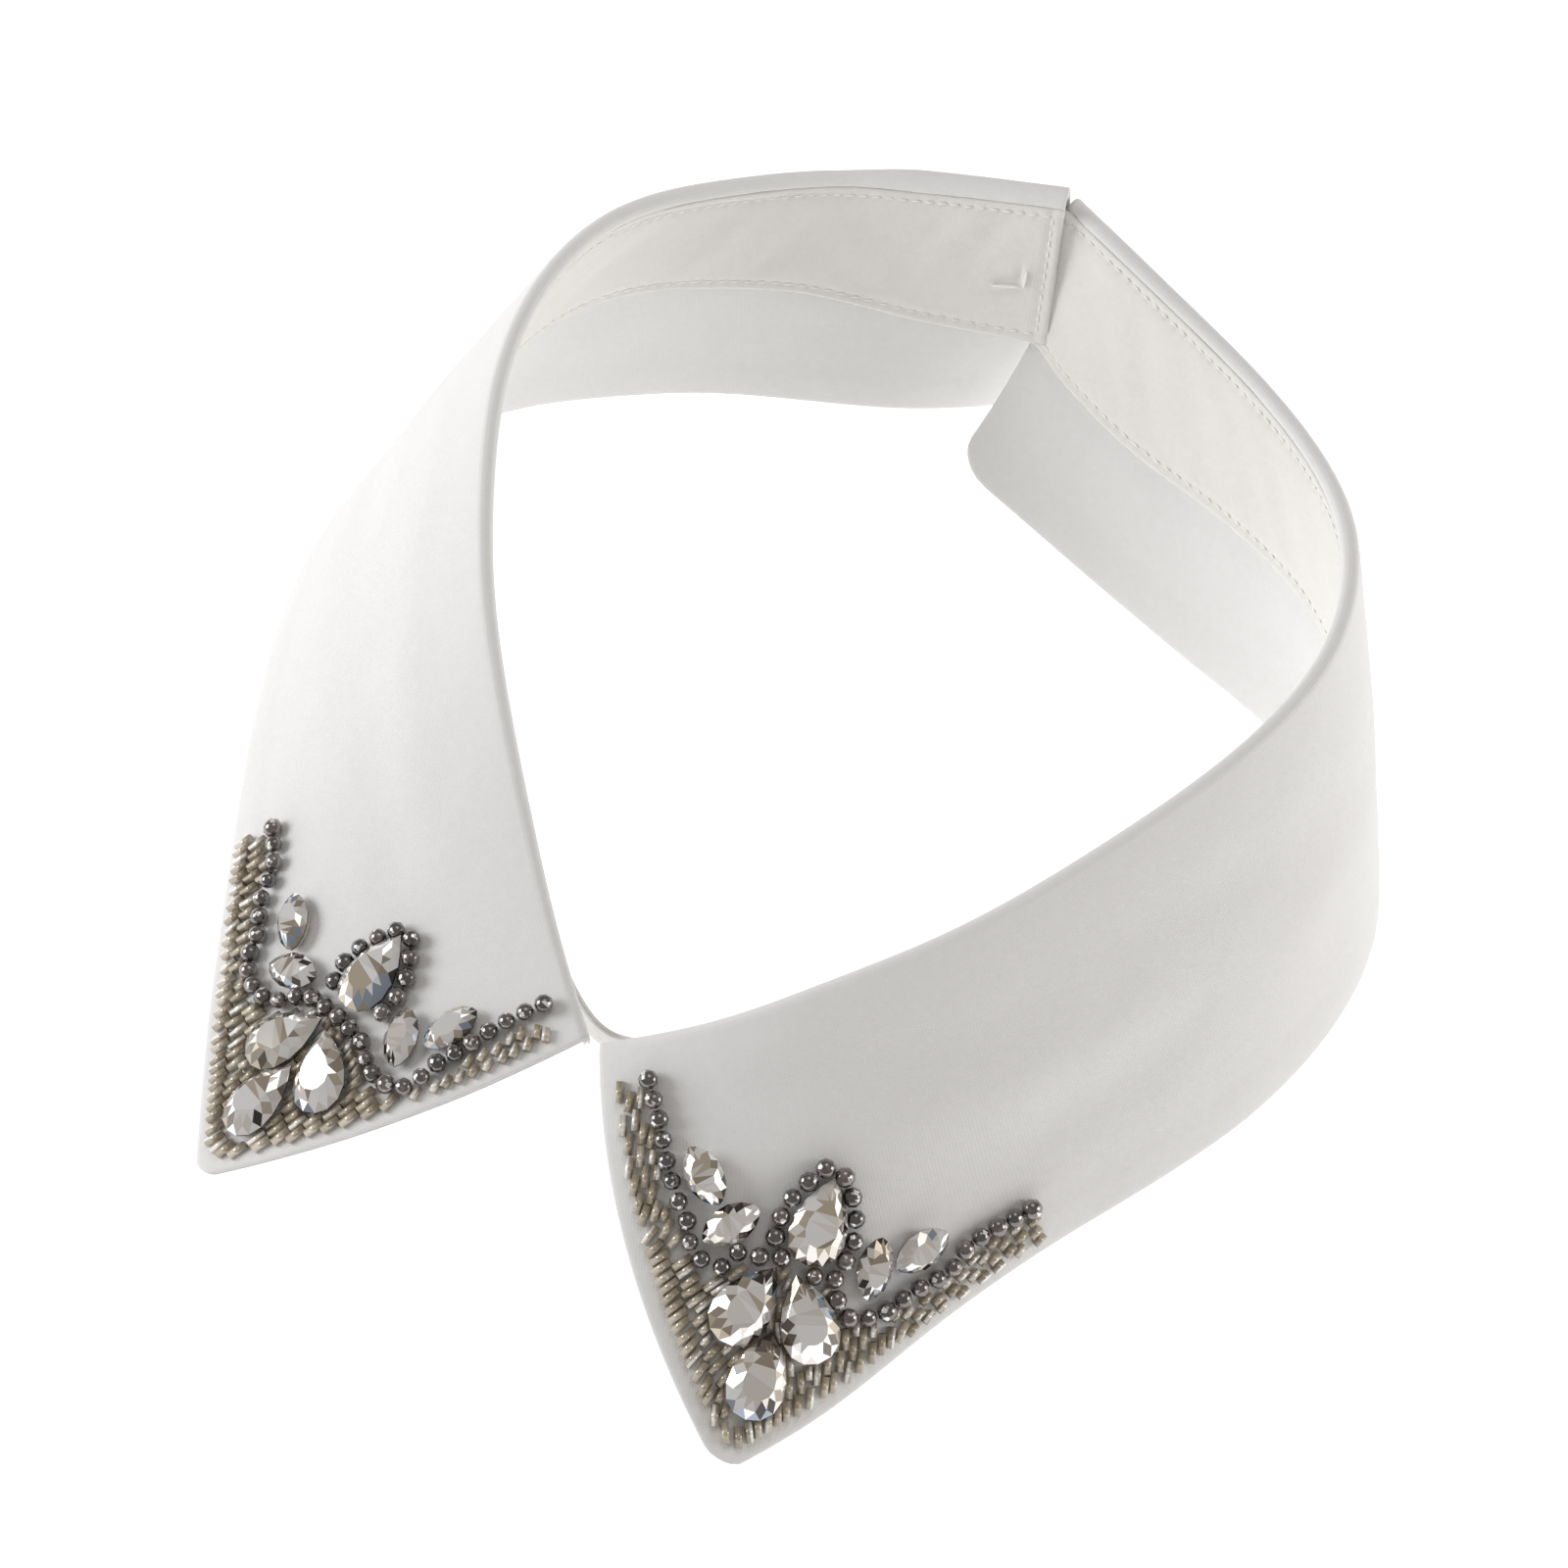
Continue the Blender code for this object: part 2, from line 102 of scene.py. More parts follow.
# station, height of the stand, lean left and right (degrees towards the neck), bow of the leaf
standShape = (
    (0, 4.0, -8, -8, 1.0, 1.0),
    (2, 8.0, -22, -22, 1.0, 1.2),
    (4, 12.0, -30, -28, 1.0, 1.5),
    (6, 15.5, -24, -20, 1.0, 1.5),
    (7, 17.0, -17, -12, 0.8, 1.2),
    (8, 18.0, -5, -3, 0.8, 0.8),
    (9, 17.5, 7, 15, 0.8, 0.8),
    (10, 19.5, 15, 26.5, 0.8, 1.5),
    (11, 23.5, 17, 28, 1.0, 3.0),
    (12, 24.5, 17, 21, 1.0, 5.2))


def unit(vector):
    vector = np.array(vector, float)
    return vector / np.linalg.norm(vector)


def smoothStep(low, high, value):
    share = np.clip((value - low) / (high - low), 0, 1)
    return share * share * (3 - 2 * share)


def naturalSpline(rows):      # a smooth curve through evenly numbered rows
    knots = np.array(rows, float)
    count = len(knots)
    system = np.eye(count)
    bend = np.zeros_like(knots)
    for i in range(1, count - 1):
        system[i, i - 1:i + 2] = (1, 4, 1)
        bend[i] = 6 * (knots[i - 1] - 2 * knots[i] + knots[i + 1])
    second = np.linalg.solve(system, bend)

    def valueAt(place):
        i = min(max(int(place), 0), count - 2)
        t = place - i
        return ((second[i] * (1 - t) ** 3 + second[i + 1] * t ** 3) / 6
                + (knots[i] - second[i] / 6) * (1 - t) + (knots[i + 1] - second[i + 1] / 6) * t)

    return valueAt


leafCurves = {side: naturalSpline(leafShape[side]) for side in ("left", "right")}


def shapeAt(side, station):
    table = np.array(standShape, float)
    pick = 0 if side == "left" else 1
    values = [np.interp(station, table[:, 0], table[:, k]) for k in (1, 2 + pick, 4 + pick)]
    return values[0], math.radians(values[1]), values[2]


def rollRadius(side, station):
    if side == "right":
        return leafShape["rollRadius"]
    return leafShape["rollRadius"] + leafShape["tabRoom"] * smoothStep(*leafShape["tabRoomFrom"], station)


def leafFrame(side, station):      # the fold's place, the way it runs and the way out from the neck
    curve = leafCurves[side]
    here = curve(station)
    run = curve(min(station + 0.02, clothPlace["lastStation"])) - curve(max(station - 0.02, 0))
    along = unit((run[0], run[1], 0))
    turn = -1 if side == "right" else 1
    out = turn * np.array((-along[1], along[0], 0))
    return here[:3], along, out, np.array((here[3], here[4], 0))


def cornerTrim(distance, radius, angle):      # what a round corner takes off at a distance from the end
    reach = radius / math.tan(angle / 2)
    if distance >= reach * math.sin(angle):
        return 0.0
    arc = math.sqrt(max(radius ** 2 - (radius - distance) ** 2, 0))
    return reach - arc - distance / math.tan(angle)


def leafTrim(side, station):
    step = clothPlace["stationStep"]
    toBack = (clothPlace["lastStation"] - station) * step
    return (cornerTrim(station * step, leafShape["pointRound"][side], leafShape["pointAngle"])
            + cornerTrim(toBack, leafShape["backRound"], leafShape["backAngle"]))


# Soft creases pressed into a leaf: millimetres along the fold and down from it, half length and
# half width, slant in degrees from the fold's direction, and height (below nought is a trough).
leafCreases = {
    "left": (
        (34, 20, 26, 5.0, 8, -0.35),
        (70, 14, 30, 4.0, -4, 0.25),
        (95, 30, 22, 5.0, 12, -0.30),
        (135, 20, 28, 5.0, -8, 0.25),
        (170, 24, 20, 4.0, 10, -0.25)),
    "right": (
        (34, 11, 26, 4.0, 6, -0.55),
        (50, 22, 34, 5.0, 4, 0.50),
        (66, 30, 24, 5.0, -4, -0.50),
        (92, 14, 22, 4.5, 10, -0.40),
        (108, 27, 24, 5.0, -8, 0.40),
        (140, 24, 26, 5.0, -6, -0.35),
        (176, 20, 18, 4.0, 6, 0.30)),
}


def leafRelief(side, along, down):
    lift = np.zeros_like(down)
    for x, y, length, width, slant, height in leafCreases[side]:
        c, s = math.cos(math.radians(slant)), math.sin(math.radians(slant))
        a = ((along - x) * c + (down - y) * s) / length
        b = ((down - y) * c - (along - x) * s) / width
        lift += height * np.exp(-a * a - b * b)
    lift += 0.05 * np.sin(along * 0.31 + down * 0.12) * np.sin(down * 0.23 + along * 0.05)
    return lift * smoothStep(0, 6, down)


plyCut = {
    "rollSteps": 10,
    "wallSteps": 34,
    "edgeSteps": (7.4, 6.0, 4.6, 3.4, 2.3, 1.4, 0.7, 0.25, 0.0),    # rows of points near the edge
    "endSteps": (0.0, 0.25, 0.7, 1.3, 2.0, 2.9, 4.0, 5.4, 7.0),     # and near both ends
    "middleStations": 140,
    "leafPly": 0.50,            # thickness of one ply of the leaf
    "leafApart": 0.28,          # its middle from the middle of the leaf
    "standPly": 0.46,
    "standApart": 0.25,
    "seamPuff": 0.13,           # the turned-in seam allowance thickens the rim
    "seamWide": 6.0,
    "thinEdge": 0.35,           # share of the thickness left at the very edge
}


# A line of points across the fold: inside it, round the roll and down the wall to the edge.
def leafSection(side, station, lift, puff=0.0, relief=True):
    fold, along, out, edge = leafFrame(side, station)
    radius = rollRadius(side, station)
    lean, bow = shapeAt(side, station)[1:]
    innerEdge = edge - leafShape["rimWidth"] * out - fold
    foot = np.array((innerEdge @ out, innerEdge[2]))
    low = foot
    for _ in range(3):
        startAngle = math.atan2(low[1], low[0]) + math.acos(radius / np.hypot(*low))
        normal = np.array((math.cos(startAngle), math.sin(startAngle)))
        low = foot + leafShape["rimWidth"] / 2 * normal
    start = radius * normal
    length = np.linalg.norm(low - start)
    kept = length - leafTrim(side, station)
    step = clothPlace["stationStep"]

    endAngle = math.pi - lean
    down = -math.sin(lean) * out - math.cos(lean) * up
    angles = np.linspace(endAngle, startAngle, plyCut["rollSteps"])
    ring = np.outer(np.cos(angles), out) + np.outer(np.sin(angles), up)
    roll = fold + (radius + lift) * ring
    lip = [roll[0] + leafShape["lipLength"] * share * down for share in (1.0, 0.5)]

    edgeRows = kept - np.array(plyCut["edgeSteps"])
    wall = np.concatenate((np.linspace(0, edgeRows[0], plyCut["wallSteps"])[1:-1], edgeRows))
    share = wall / length
    swell, reach, fromEnd, downTo = leafShape["buttonSwell"]
    rise = bow * 4 * share * (1 - share)
    if side == "left":
        across = (clothPlace["lastStation"] - station) * step - fromEnd
        rise = rise + swell * np.exp(-(across ** 2 + (wall - downTo) ** 2) / reach ** 2)
    if relief:
        rise = rise + leafRelief(side, station * step, wall)
    fromRim = np.minimum(kept - wall, min(station * step * 0.85, (12 - station) * step))
    if puff:
        rise = rise + puff * smoothStep(0, 1.2, fromRim) * (1 - smoothStep(4.6, plyCut["seamWide"], fromRim))
    skew = (innerEdge @ along) * share
    bowed = leafShape["frontBow"][side] * 4 * share * (1 - share)
    skew = skew - bowed * math.exp(-station * step / leafShape["frontBowReach"])
    flat = start + np.outer(share, low - start) + np.outer(lift + rise, normal)
    wallPoints = fold + np.outer(flat[:, 0], out) + np.outer(flat[:, 1], up) + np.outer(skew, along)
    wallPoints[:, 2] = np.maximum(wallPoints[:, 2], plyCut["leafPly"] / 2 * smoothStep(0, 3, fromRim))

    points = np.concatenate((lip, roll, wallPoints))
    slide = leafShape["backReach"][side] * smoothStep(leafShape["backReachFrom"], 12, station)
    fade = 1 - smoothStep(0, leafShape["backReachDown"], wall)
    points += np.outer(slide * np.concatenate((np.ones(len(points) - len(wall)), fade)), along)
    lipEnd = leafShape["lipLength"]
    rollEnd = lipEnd + radius * (endAngle - startAngle)
    across = np.concatenate(((0, lipEnd / 2), np.linspace(lipEnd, rollEnd, len(angles)), rollEnd + wall))
    sideways = np.concatenate((np.zeros(2 + len(angles)), skew))
    return points, np.stack((station * step + sideways, across), axis=1)


def leafStations():
    step = clothPlace["stationStep"]
    front = [distance / step for distance in plyCut["endSteps"]]
    back = [clothPlace["lastStation"] - station for station in reversed(front)]
    return front + list(np.linspace(front[-1], back[0], plyCut["middleStations"])[1:-1]) + back


def finishPiece(name, mesh, material, smooth=True):
    piece = bpy.data.objects.new(name, mesh)
    bpy.context.scene.collection.objects.link(piece)
    mesh.materials.append(material)
    if smooth:
        mesh.shade_smooth()
    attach(piece, "root")
    return piece


def mapGrid(name, rows, flats):      # a flat grid of cloth laid along rows of points
    shape = bmesh.new()
    rowCount, pointCount = len(rows), len(rows[0])
    bmesh.ops.create_grid(shape, x_segments=rowCount - 1, y_segments=pointCount - 1, size=1)
    flatLayer = shape.loops.layers.uv.new("flatCloth")
    for vert in shape.verts:
        i = round((vert.co.x + 1) / 2 * (rowCount - 1))
        j = round((vert.co.y + 1) / 2 * (pointCount - 1))
        vert.co = Vector((rows[i][j] + clothPlace["moved"]) * mm)
        for loop in vert.link_loops:
            loop[flatLayer].uv = flats[i][j] * mm
    return shape


def clothPly(name, rows, flats, thickness, material, flip):
    shape = mapGrid(name, rows, flats)
    if flip:
        bmesh.ops.reverse_faces(shape, faces=shape.faces)
    shape.verts.index_update()
    rim = [vert.index for vert in shape.verts if vert.is_boundary]
    inside = [vert.index for vert in shape.verts if not vert.is_boundary]
    mesh = bpy.data.meshes.new(name)
    shape.to_mesh(mesh)
    shape.free()
    piece = finishPiece(name, mesh, material)
    group = piece.vertex_groups.new(name="plyThickness")
    group.add(inside, 1.0, "REPLACE")
    group.add(rim, plyCut["thinEdge"], "REPLACE")
    wall = piece.modifiers.new("plyThickness", "SOLIDIFY")
    wall.thickness = thickness * mm
    wall.offset = 0
    wall.vertex_group = group.name
    wall.use_quality_normals = True
    return piece


# Materials: each takes its colours as sRGB hex values.
def hexToLinear(code):
    values = [int(code[i:i + 2], 16) / 255 for i in (1, 3, 5)]
    return (*[v / 12.92 if v <= 0.04045 else ((v + 0.055) / 1.055) ** 2.4 for v in values], 1)


def addNode(tree, kind, settings, links=None):
    node = tree.nodes.new(kind)
    for key, value in settings.items():
        if isinstance(key, int) or key in node.inputs:
            node.inputs[key].default_value = value
        else:
            setattr(node, key, value)
    for key, source in (links or {}).items():
        tree.links.new(source, node.inputs[key])
    return node


def newMaterial(name, settings):
    material = bpy.data.materials.new(name)
    material.use_nodes = True
    tree = material.node_tree
    shader = tree.nodes["Principled BSDF"]
    for key, value in settings.items():
        shader.inputs[key].default_value = value
    return material, tree, shader


def setRamp(node, stops):
    ramp = node.color_ramp
    while len(ramp.elements) < len(stops):
        ramp.elements.new(0.5)
    for element, (place, code) in zip(ramp.elements, stops):
        element.position = place
        element.color = hexToLinear(code)


cottonLook = {
    "leaf": ("#f1f1f1", "#e9e9e8"),
    "stand": ("#efeeeb", "#e6e4e0"),
    "threadSpacing": 0.42,      # real poplin has about 0.2 mm: drawn coarser so that it shows
    "weaveDepth": 0.035,
    "dappleDepth": 0.10,
}


def wovenCotton(name, colours):
    # Fine plain-woven cotton, pressed: a matt white with a faint thread grain and a soft sheen at the edges.
    material, tree, shader = newMaterial(name, {
        "Roughness": 0.88, "Specular IOR Level": 0.25, "Sheen Weight": 0.12, "Sheen Roughness": 0.45})
    flat = addNode(tree, "ShaderNodeUVMap", {"uv_map": "flatCloth"})
    scale = 2 * math.pi / (20 * cottonLook["threadSpacing"] * mm)
    waves = [addNode(tree, "ShaderNodeTexWave",
                     {"wave_type": "BANDS", "bands_direction": direction, "Scale": scale, "Distortion": 0.6,
                      "Detail": 1.0, "Detail Scale": 0.15},
                     {"Vector": flat.outputs["UV"]}) for direction in ("X", "Y")]
    weave = addNode(tree, "ShaderNodeMath", {"operation": "MULTIPLY"},
                    {0: waves[0].outputs["Fac"], 1: waves[1].outputs["Fac"]})
    place = addNode(tree, "ShaderNodeTexCoord", {})
    dapple = addNode(tree, "ShaderNodeTexNoise", {"Scale": 95.0, "Detail": 2.0, "Roughness": 0.55},
                     {"Vector": place.outputs["Object"]})
    slub = addNode(tree, "ShaderNodeTexNoise", {"Scale": 900.0, "Detail": 3.0, "Roughness": 0.7},
                   {"Vector": place.outputs["Object"]})
    tint = addNode(tree, "ShaderNodeMix",
                   {"data_type": "RGBA", 6: hexToLinear(colours[0]), 7: hexToLinear(colours[1])},
                   {"Factor": slub.outputs["Fac"]})
    tree.links.new(tint.outputs[2], shader.inputs["Base Color"])
    soft = addNode(tree, "ShaderNodeBump", {"Strength": 0.5, "Distance": cottonLook["dappleDepth"] * mm * 4},
                   {"Height": dapple.outputs["Fac"]})
    fine = addNode(tree, "ShaderNodeBump", {"Strength": 0.6, "Distance": cottonLook["weaveDepth"] * mm},
                   {"Height": weave.outputs["Value"], "Normal": soft.outputs["Normal"]})
    tree.links.new(fine.outputs["Normal"], shader.inputs["Normal"])
    return material


leafCotton = wovenCotton("wovenCottonLeaf", cottonLook["leaf"])
standCotton = wovenCotton("wovenCottonStand", cottonLook["stand"])


def buildLeaf(side):
    stations = leafStations()
    made = {}
    for ply, sign in (("Top", 1), ("Under", -1)):
        lift = sign * plyCut["leafApart"]
        sections = [leafSection(side, s, lift, sign * plyCut["seamPuff"]) for s in stations]
        rows = [points for points, _ in sections]
        flats = [flat for _, flat in sections]
        name = "leaf" + side.capitalize() + ply
        flip = (side == "left") != (ply == "Top")
        made[ply] = clothPly(name, rows, flats, plyCut["leafPly"], leafCotton, flip)
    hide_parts("leaf_" + side)
    return made


# The stand: one band from the left end round the front to the tab under the left end.
bandShape = {
    "frontPoint": np.array((1.5, -62.0, 19.2)),
    "frontHeight": 4.0,
    "seamGap": 0.10,            # closer than the solids' 0.35, so that the seam is a fine soft line
    "tabStart": 1.5,
    "tabLength": 21.0,
    "tabBend": (11.4, 11.85),
    "tabDrop": 1.2,
    "tabClearance": 0.35,
    "thick": 1.0,
    "spacing": 0.475,
    "evened": 5.0,              # distance over which its lower edge is smoothed
    "edgeRows": (0.0, 0.25, 0.6, 1.05, 1.5, 1.95, 2.5, 3.3),
    "middleRows": 24,
}
stitching = {
    "fromEdge": 1.5,
    "pitch": 1.9,
    "length": 1.25,
    "thread": 0.34,
    "sink": 0.32,               # depth of the dents that the thread pulls in
    "sunk": 0.10,               # how far a stitch lies under the cloth's face
    # the bars that hold the button: along and down the band, slant in degrees, length and thickness
    "bars": ((6.3, 14.6, 4, 4.6, 0.55), (3.9, 13.0, 88, 3.2, 0.50)),
}


def standLine(side, station):
    fold, along, out, edge = leafFrame(side, station)
    height, lean, _ = shapeAt(side, station)
    down = -math.sin(lean) * out - math.cos(lean) * up
    face = -math.cos(lean) * out + math.sin(lean) * up
    top = fold + rollRadius(side, station) * face + (leafShape["lipLength"] + bandShape["seamGap"]) * down
    leaf = edge - fold
    down = down + (leaf @ along) / np.linalg.norm(leaf) * along
    return np.concatenate((top, top + height * down, face))


def bandRows():
    last = clothPlace["lastStation"]
    step = clothPlace["stationStep"]
    fromBack = np.arange(last, 0.5, -0.5)
    toBack = np.concatenate((fromBack[:1:-1], bandShape["tabBend"]))
    rows = [standLine("left", station) for station in fromBack]
    front = bandShape["frontPoint"]
    rows.append(np.concatenate((front, front - bandShape["frontHeight"] * up, (0, 1, 0))))
    rows += [standLine("right", station) for station in toBack]
    for station in np.linspace(last - bandShape["tabStart"] / step, last - bandShape["tabLength"] / step, 3):
        row = standLine("left", station)
        face = row[6:9]
        shift = bandShape["tabDrop"] * unit(row[3:6] - row[:3])
        shift = shift - (bandShape["thick"] + bandShape["tabClearance"]) * face
        rows.append(np.concatenate((row[:3] + shift, row[3:6] + shift, face)))
    curve = naturalSpline(rows)
    dense = np.array([curve(place) for place in np.linspace(0, len(rows) - 1, 25 * len(rows))])
    run = np.concatenate(([0], np.cumsum(np.linalg.norm(np.diff(dense[:, :2], axis=0), axis=1))))
    stops = np.linspace(0, run[-1], int(run[-1] / bandShape["spacing"]) + 1)
    even = np.array([[np.interp(stop, run, column) for column in dense.T] for stop in stops])
    # The way down and the facing change evenly, so that the lower edge runs smooth like a cut one.
    reach = int(3 * bandShape["evened"] / bandShape["spacing"])
    weights = np.exp(-0.5 * (np.arange(-reach, reach + 1) * bandShape["spacing"] / bandShape["evened"]) ** 2)
    even[:, 3:6] -= even[:, :3]
    for k in range(3, 9):
        padded = np.pad(even[:, k], reach, mode="reflect", reflect_type="odd")
        even[:, k] = np.convolve(padded, weights / weights.sum(), mode="valid")
    even[:, 3:6] += even[:, :3]
    return stops, even


# Puckers and dents of the stand: millimetres from the left end and down from the top, half length,
# half width, slant in degrees and height towards the neck.
standCreases = (
    (6.3, 14.6, 2.3, 0.45, 4, 0.40),        # the pucker that the button's thread pulls in
    (6.0, 15.7, 2.6, 0.60, 4, -0.50),
    (6.4, 13.4, 2.0, 0.60, 4, -0.40),
    (3.9, 13.0, 1.6, 0.42, 88, 0.40),
    (4.8, 12.6, 1.7, 0.50, 88, -0.48),
    (9.5, 6.5, 5.0, 1.6, 60, -0.24),
    (15, 8, 7, 1.8, 65, 0.26),
    (21, 13, 7, 1.8, 62, -0.24),
    (30, 9, 7, 2.2, -50, 0.22),
    (38, 13, 8, 2.0, 60, -0.22),
    (47, 10, 9, 2.2, 65, 0.20),
    (62, 8, 8, 2.0, 40, -0.20),
    (78, 10, 8, 2.2, -60, 0.18),
    (330, 10, 8, 2.2, 55, 0.14),
    (346, 13, 9, 2.0, -50, -0.15),
    (362, 8, 8, 2.2, 60, 0.16),
    (376, 14, 8, 2.0, -65, -0.15),
    (390, 10, 7, 2.0, 50, 0.14))


def standRelief(along, down, height, total):
    lift = np.zeros_like(down)
    for x, y, length, width, slant, rise in standCreases:
        c, s = math.cos(math.radians(slant)), math.sin(math.radians(slant))
        a = ((along - x) * c + (down - y) * s) / length
        b = ((down - y) * c - (along - x) * s) / width
        lift += rise * np.exp(-a * a - b * b)
    lift += 0.07 * np.sin(along * 0.43) * np.sin(along * 0.19 + down * 0.5)
    lift *= smoothStep(0, 4, height - down)
    fromLine = np.minimum(abs(down - stitching["fromEdge"]), abs(height - down - stitching["fromEdge"]))
    fromLine = np.minimum(fromLine, abs(along - stitching["fromEdge"]))
    hole = 0.5 + 0.5 * math.cos(2 * math.pi * along / stitching["pitch"])
    return lift - stitching["sink"] * (0.3 + 0.7 * hole) * np.exp(-(fromLine / 0.5) ** 2)


def standDowns(height):
    near = np.array(bandShape["edgeRows"]) * min(1, height / 8)
    middle = np.linspace(near[-1], height - near[-1], bandShape["middleRows"])[1:-1]
    return np.concatenate((near, middle, height - near[::-1]))


def standPoint(stops, rows, along, down, lift):      # a point of the band, for threads and dents
    row = np.array([np.interp(along, stops, column) for column in rows.T])
    height = np.linalg.norm(row[3:6] - row[:3])
    share = down / height
    return row[:3] + (row[3:6] - row[:3]) * share + lift * unit(row[6:9])


def buildStand():
    stops, rows = bandRows()
    total = stops[-1]
    for ply, sign in (("Inner", 1), ("Outer", -1)):
        lines, flats = [], []
        for along, row in zip(stops, rows):
            top, bottom, face = row[:3], row[3:6], unit(row[6:9])
            height = np.linalg.norm(bottom - top)
            downs = standDowns(height)
            relief = standRelief(along, downs, height, total)
            if ply == "Outer":
                relief = np.minimum(relief * 0.6, 0.2)
            lift = sign * plyCut["standApart"] + relief
            lines.append(top + np.outer(downs / height, bottom - top) + np.outer(lift, face))
            flats.append(np.stack((np.full_like(downs, along), downs), axis=1))
        clothPly("stand" + ply, lines, flats, plyCut["standPly"], standCotton,
                             ply == "Inner")
    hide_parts("stand")
    return stops, rows


def inFrame(point):
    return Vector((point + clothPlace["moved"]) * mm)


def placeMatrix(place, along, normal):      # x along and z along the normal, at a place in the frame
    z = Vector(normal).normalized()
    x = Vector(along)
    x = (x - x.project(z)).normalized()
    axes = Matrix((x, z.cross(x), z)).transposed().to_4x4()
    return Matrix.Translation(place) @ axes


def scatter(name, template, places, material, smooth, tones=None):
    shape = bmesh.new()
    for place in places:
        start = len(shape.verts)
        shape.from_mesh(template)
        shape.verts.ensure_lookup_table()
        bmesh.ops.transform(shape, matrix=place, verts=shape.verts[start:])
    mesh = bpy.data.meshes.new(name)
    shape.to_mesh(mesh)
    shape.free()
    if tones:
        setTones(mesh, [tone for _ in places for tone in tones(template)])
    return finishPiece(name, mesh, material, smooth)


def buildStitches(stops, rows):
    shape = bmesh.new()
    half = stitching["length"] / 2
    bmesh.ops.create_uvsphere(shape, u_segments=6, v_segments=5, radius=stitching["thread"] / 2 * mm)
    bmesh.ops.rotate(shape, verts=shape.verts, cent=(0, 0, 0), matrix=Matrix.Rotation(math.pi / 2, 3, "Y"))
    bmesh.ops.scale(shape, verts=shape.verts, vec=(2 * half / stitching["thread"], 1, 1))
    template = bpy.data.meshes.new("stitchTemplate")
    shape.to_mesh(template)
    shape.free()
    places = []
    total = stops[-1]
    edge = stitching["fromEdge"]
    out = plyCut["standApart"] + plyCut["standPly"] / 2 - 0.02
    for side in (1, -1):
        count = int((total - 2 * edge) / stitching["pitch"])
        for i in range(count):
            along = edge + (i + 0.5) * stitching["pitch"]
            row = np.array([np.interp(along, stops, column) for column in rows.T])
            height = np.linalg.norm(row[3:6] - row[:3])
            inset = edge * min(1, height / 8)
            for down in (inset, height - inset):
                ends = [standPoint(stops, rows, along + k * half, down, side * out) for k in (-1, 1)]
                middle = (ends[0] + ends[1]) / 2 - side * stitching["sunk"] * unit(row[6:9])
                places.append(placeMatrix(inFrame(middle), ends[1] - ends[0], row[6:9] * side))
        for along in (edge, total - edge):
            row = np.array([np.interp(along, stops, column) for column in rows.T])
            height = np.linalg.norm(row[3:6] - row[:3])
            for i in range(int((height - 2 * edge) / stitching["pitch"])):
                down = edge + (i + 0.5) * (height - 2 * edge) / int((height - 2 * edge) / stitching["pitch"])
                ends = [standPoint(stops, rows, along, down + k * half, side * out) for k in (-1, 1)]
                middle = (ends[0] + ends[1]) / 2 - side * stitching["sunk"] * unit(row[6:9])
                places.append(placeMatrix(inFrame(middle), ends[1] - ends[0], row[6:9] * side))
    for along, down, slant, length, thickness in stitching["bars"]:
        row = np.array([np.interp(along, stops, column) for column in rows.T])
        turn = (math.cos(math.radians(slant)), math.sin(math.radians(slant)))
        height = np.linalg.norm(row[3:6] - row[:3])
        raised = out + standRelief(along, np.array([down]), height, total)[0]
        ends = [standPoint(stops, rows, along + k * turn[0], down + k * turn[1], raised) for k in (-1, 1)]
        place = placeMatrix(inFrame((ends[0] + ends[1]) / 2), ends[1] - ends[0], row[6:9])
        thicker = thickness / stitching["thread"]
        places.append(place @ Matrix.Diagonal((length / stitching["length"], thicker, thicker, 1)))
    piece = scatter("standTopstitching", template, places, threadCotton, True)
    bpy.data.meshes.remove(template)
    print("stitches", len(places))
    return piece


def spunThread():
    # Mercerised sewing cotton: a little whiter and shinier than the cloth.
    material, tree, shader = newMaterial("spunCottonThread", {
        "Base Color": hexToLinear("#fbfaf7"), "Roughness": 0.6, "Sheen Weight": 0.2})
    return material


threadCotton = spunThread()
leaves = {side: buildLeaf(side) for side in ("left", "right")}
standStops, standRows = buildStand()
buildStitches(standStops, standRows)

# The spray of each point, on a plane through the point's corner: "out" runs from the corner along
# the line that halves the point, and "aside" from that line towards the front edge.  Sewn on by
# hand, so the two sides differ a little.  Turns are in degrees, of the narrow end from that line.
spray = {
    "planeStation": 2.5,
    "planeShare": 0.25,
    "castFrom": 30.0,
    "stones": {
        "left": (
            ("pear_top", "pear", 37.2, 4.8, 1),
            ("pear_front", "pear", 21.8, 7.8, -36),
            ("pear_edge", "pear", 22.7, -0.9, 34),
            ("pear_point", "pear", 13.9, 2.2, 10),
            ("navette_front_high", "navette", 37.0, 20.0, 23),
            ("navette_front_low", "navette", 32.0, 14.7, -29),
            ("navette_edge_low", "navette", 30.8, -6.9, 76),
            ("navette_edge_high", "navette", 36.4, -12.0, -40)),
        "right": (
            ("pear_top", "pear", 36.0, -1.0, 4),
            ("pear_front", "pear", 22.8, 4.2, -20),
            ("pear_edge", "pear", 23.3, -3.7, 34),
            ("pear_point", "pear", 14.3, -0.3, 1),
            ("navette_front_high", "navette", 36.9, 15.0, 46),
            ("navette_front_low", "navette", 31.9, 9.7, -41),
            ("navette_edge_low", "navette", 32.6, -10.2, 10),
            ("navette_edge_high", "navette", 37.2, -15.6, -36)),
    },
    "sizes": {"pear": (12.5, 7.6, 3.4, 16), "navette": (8.8, 5.3, 2.6, 14)},
    "lift": 0.45,
}


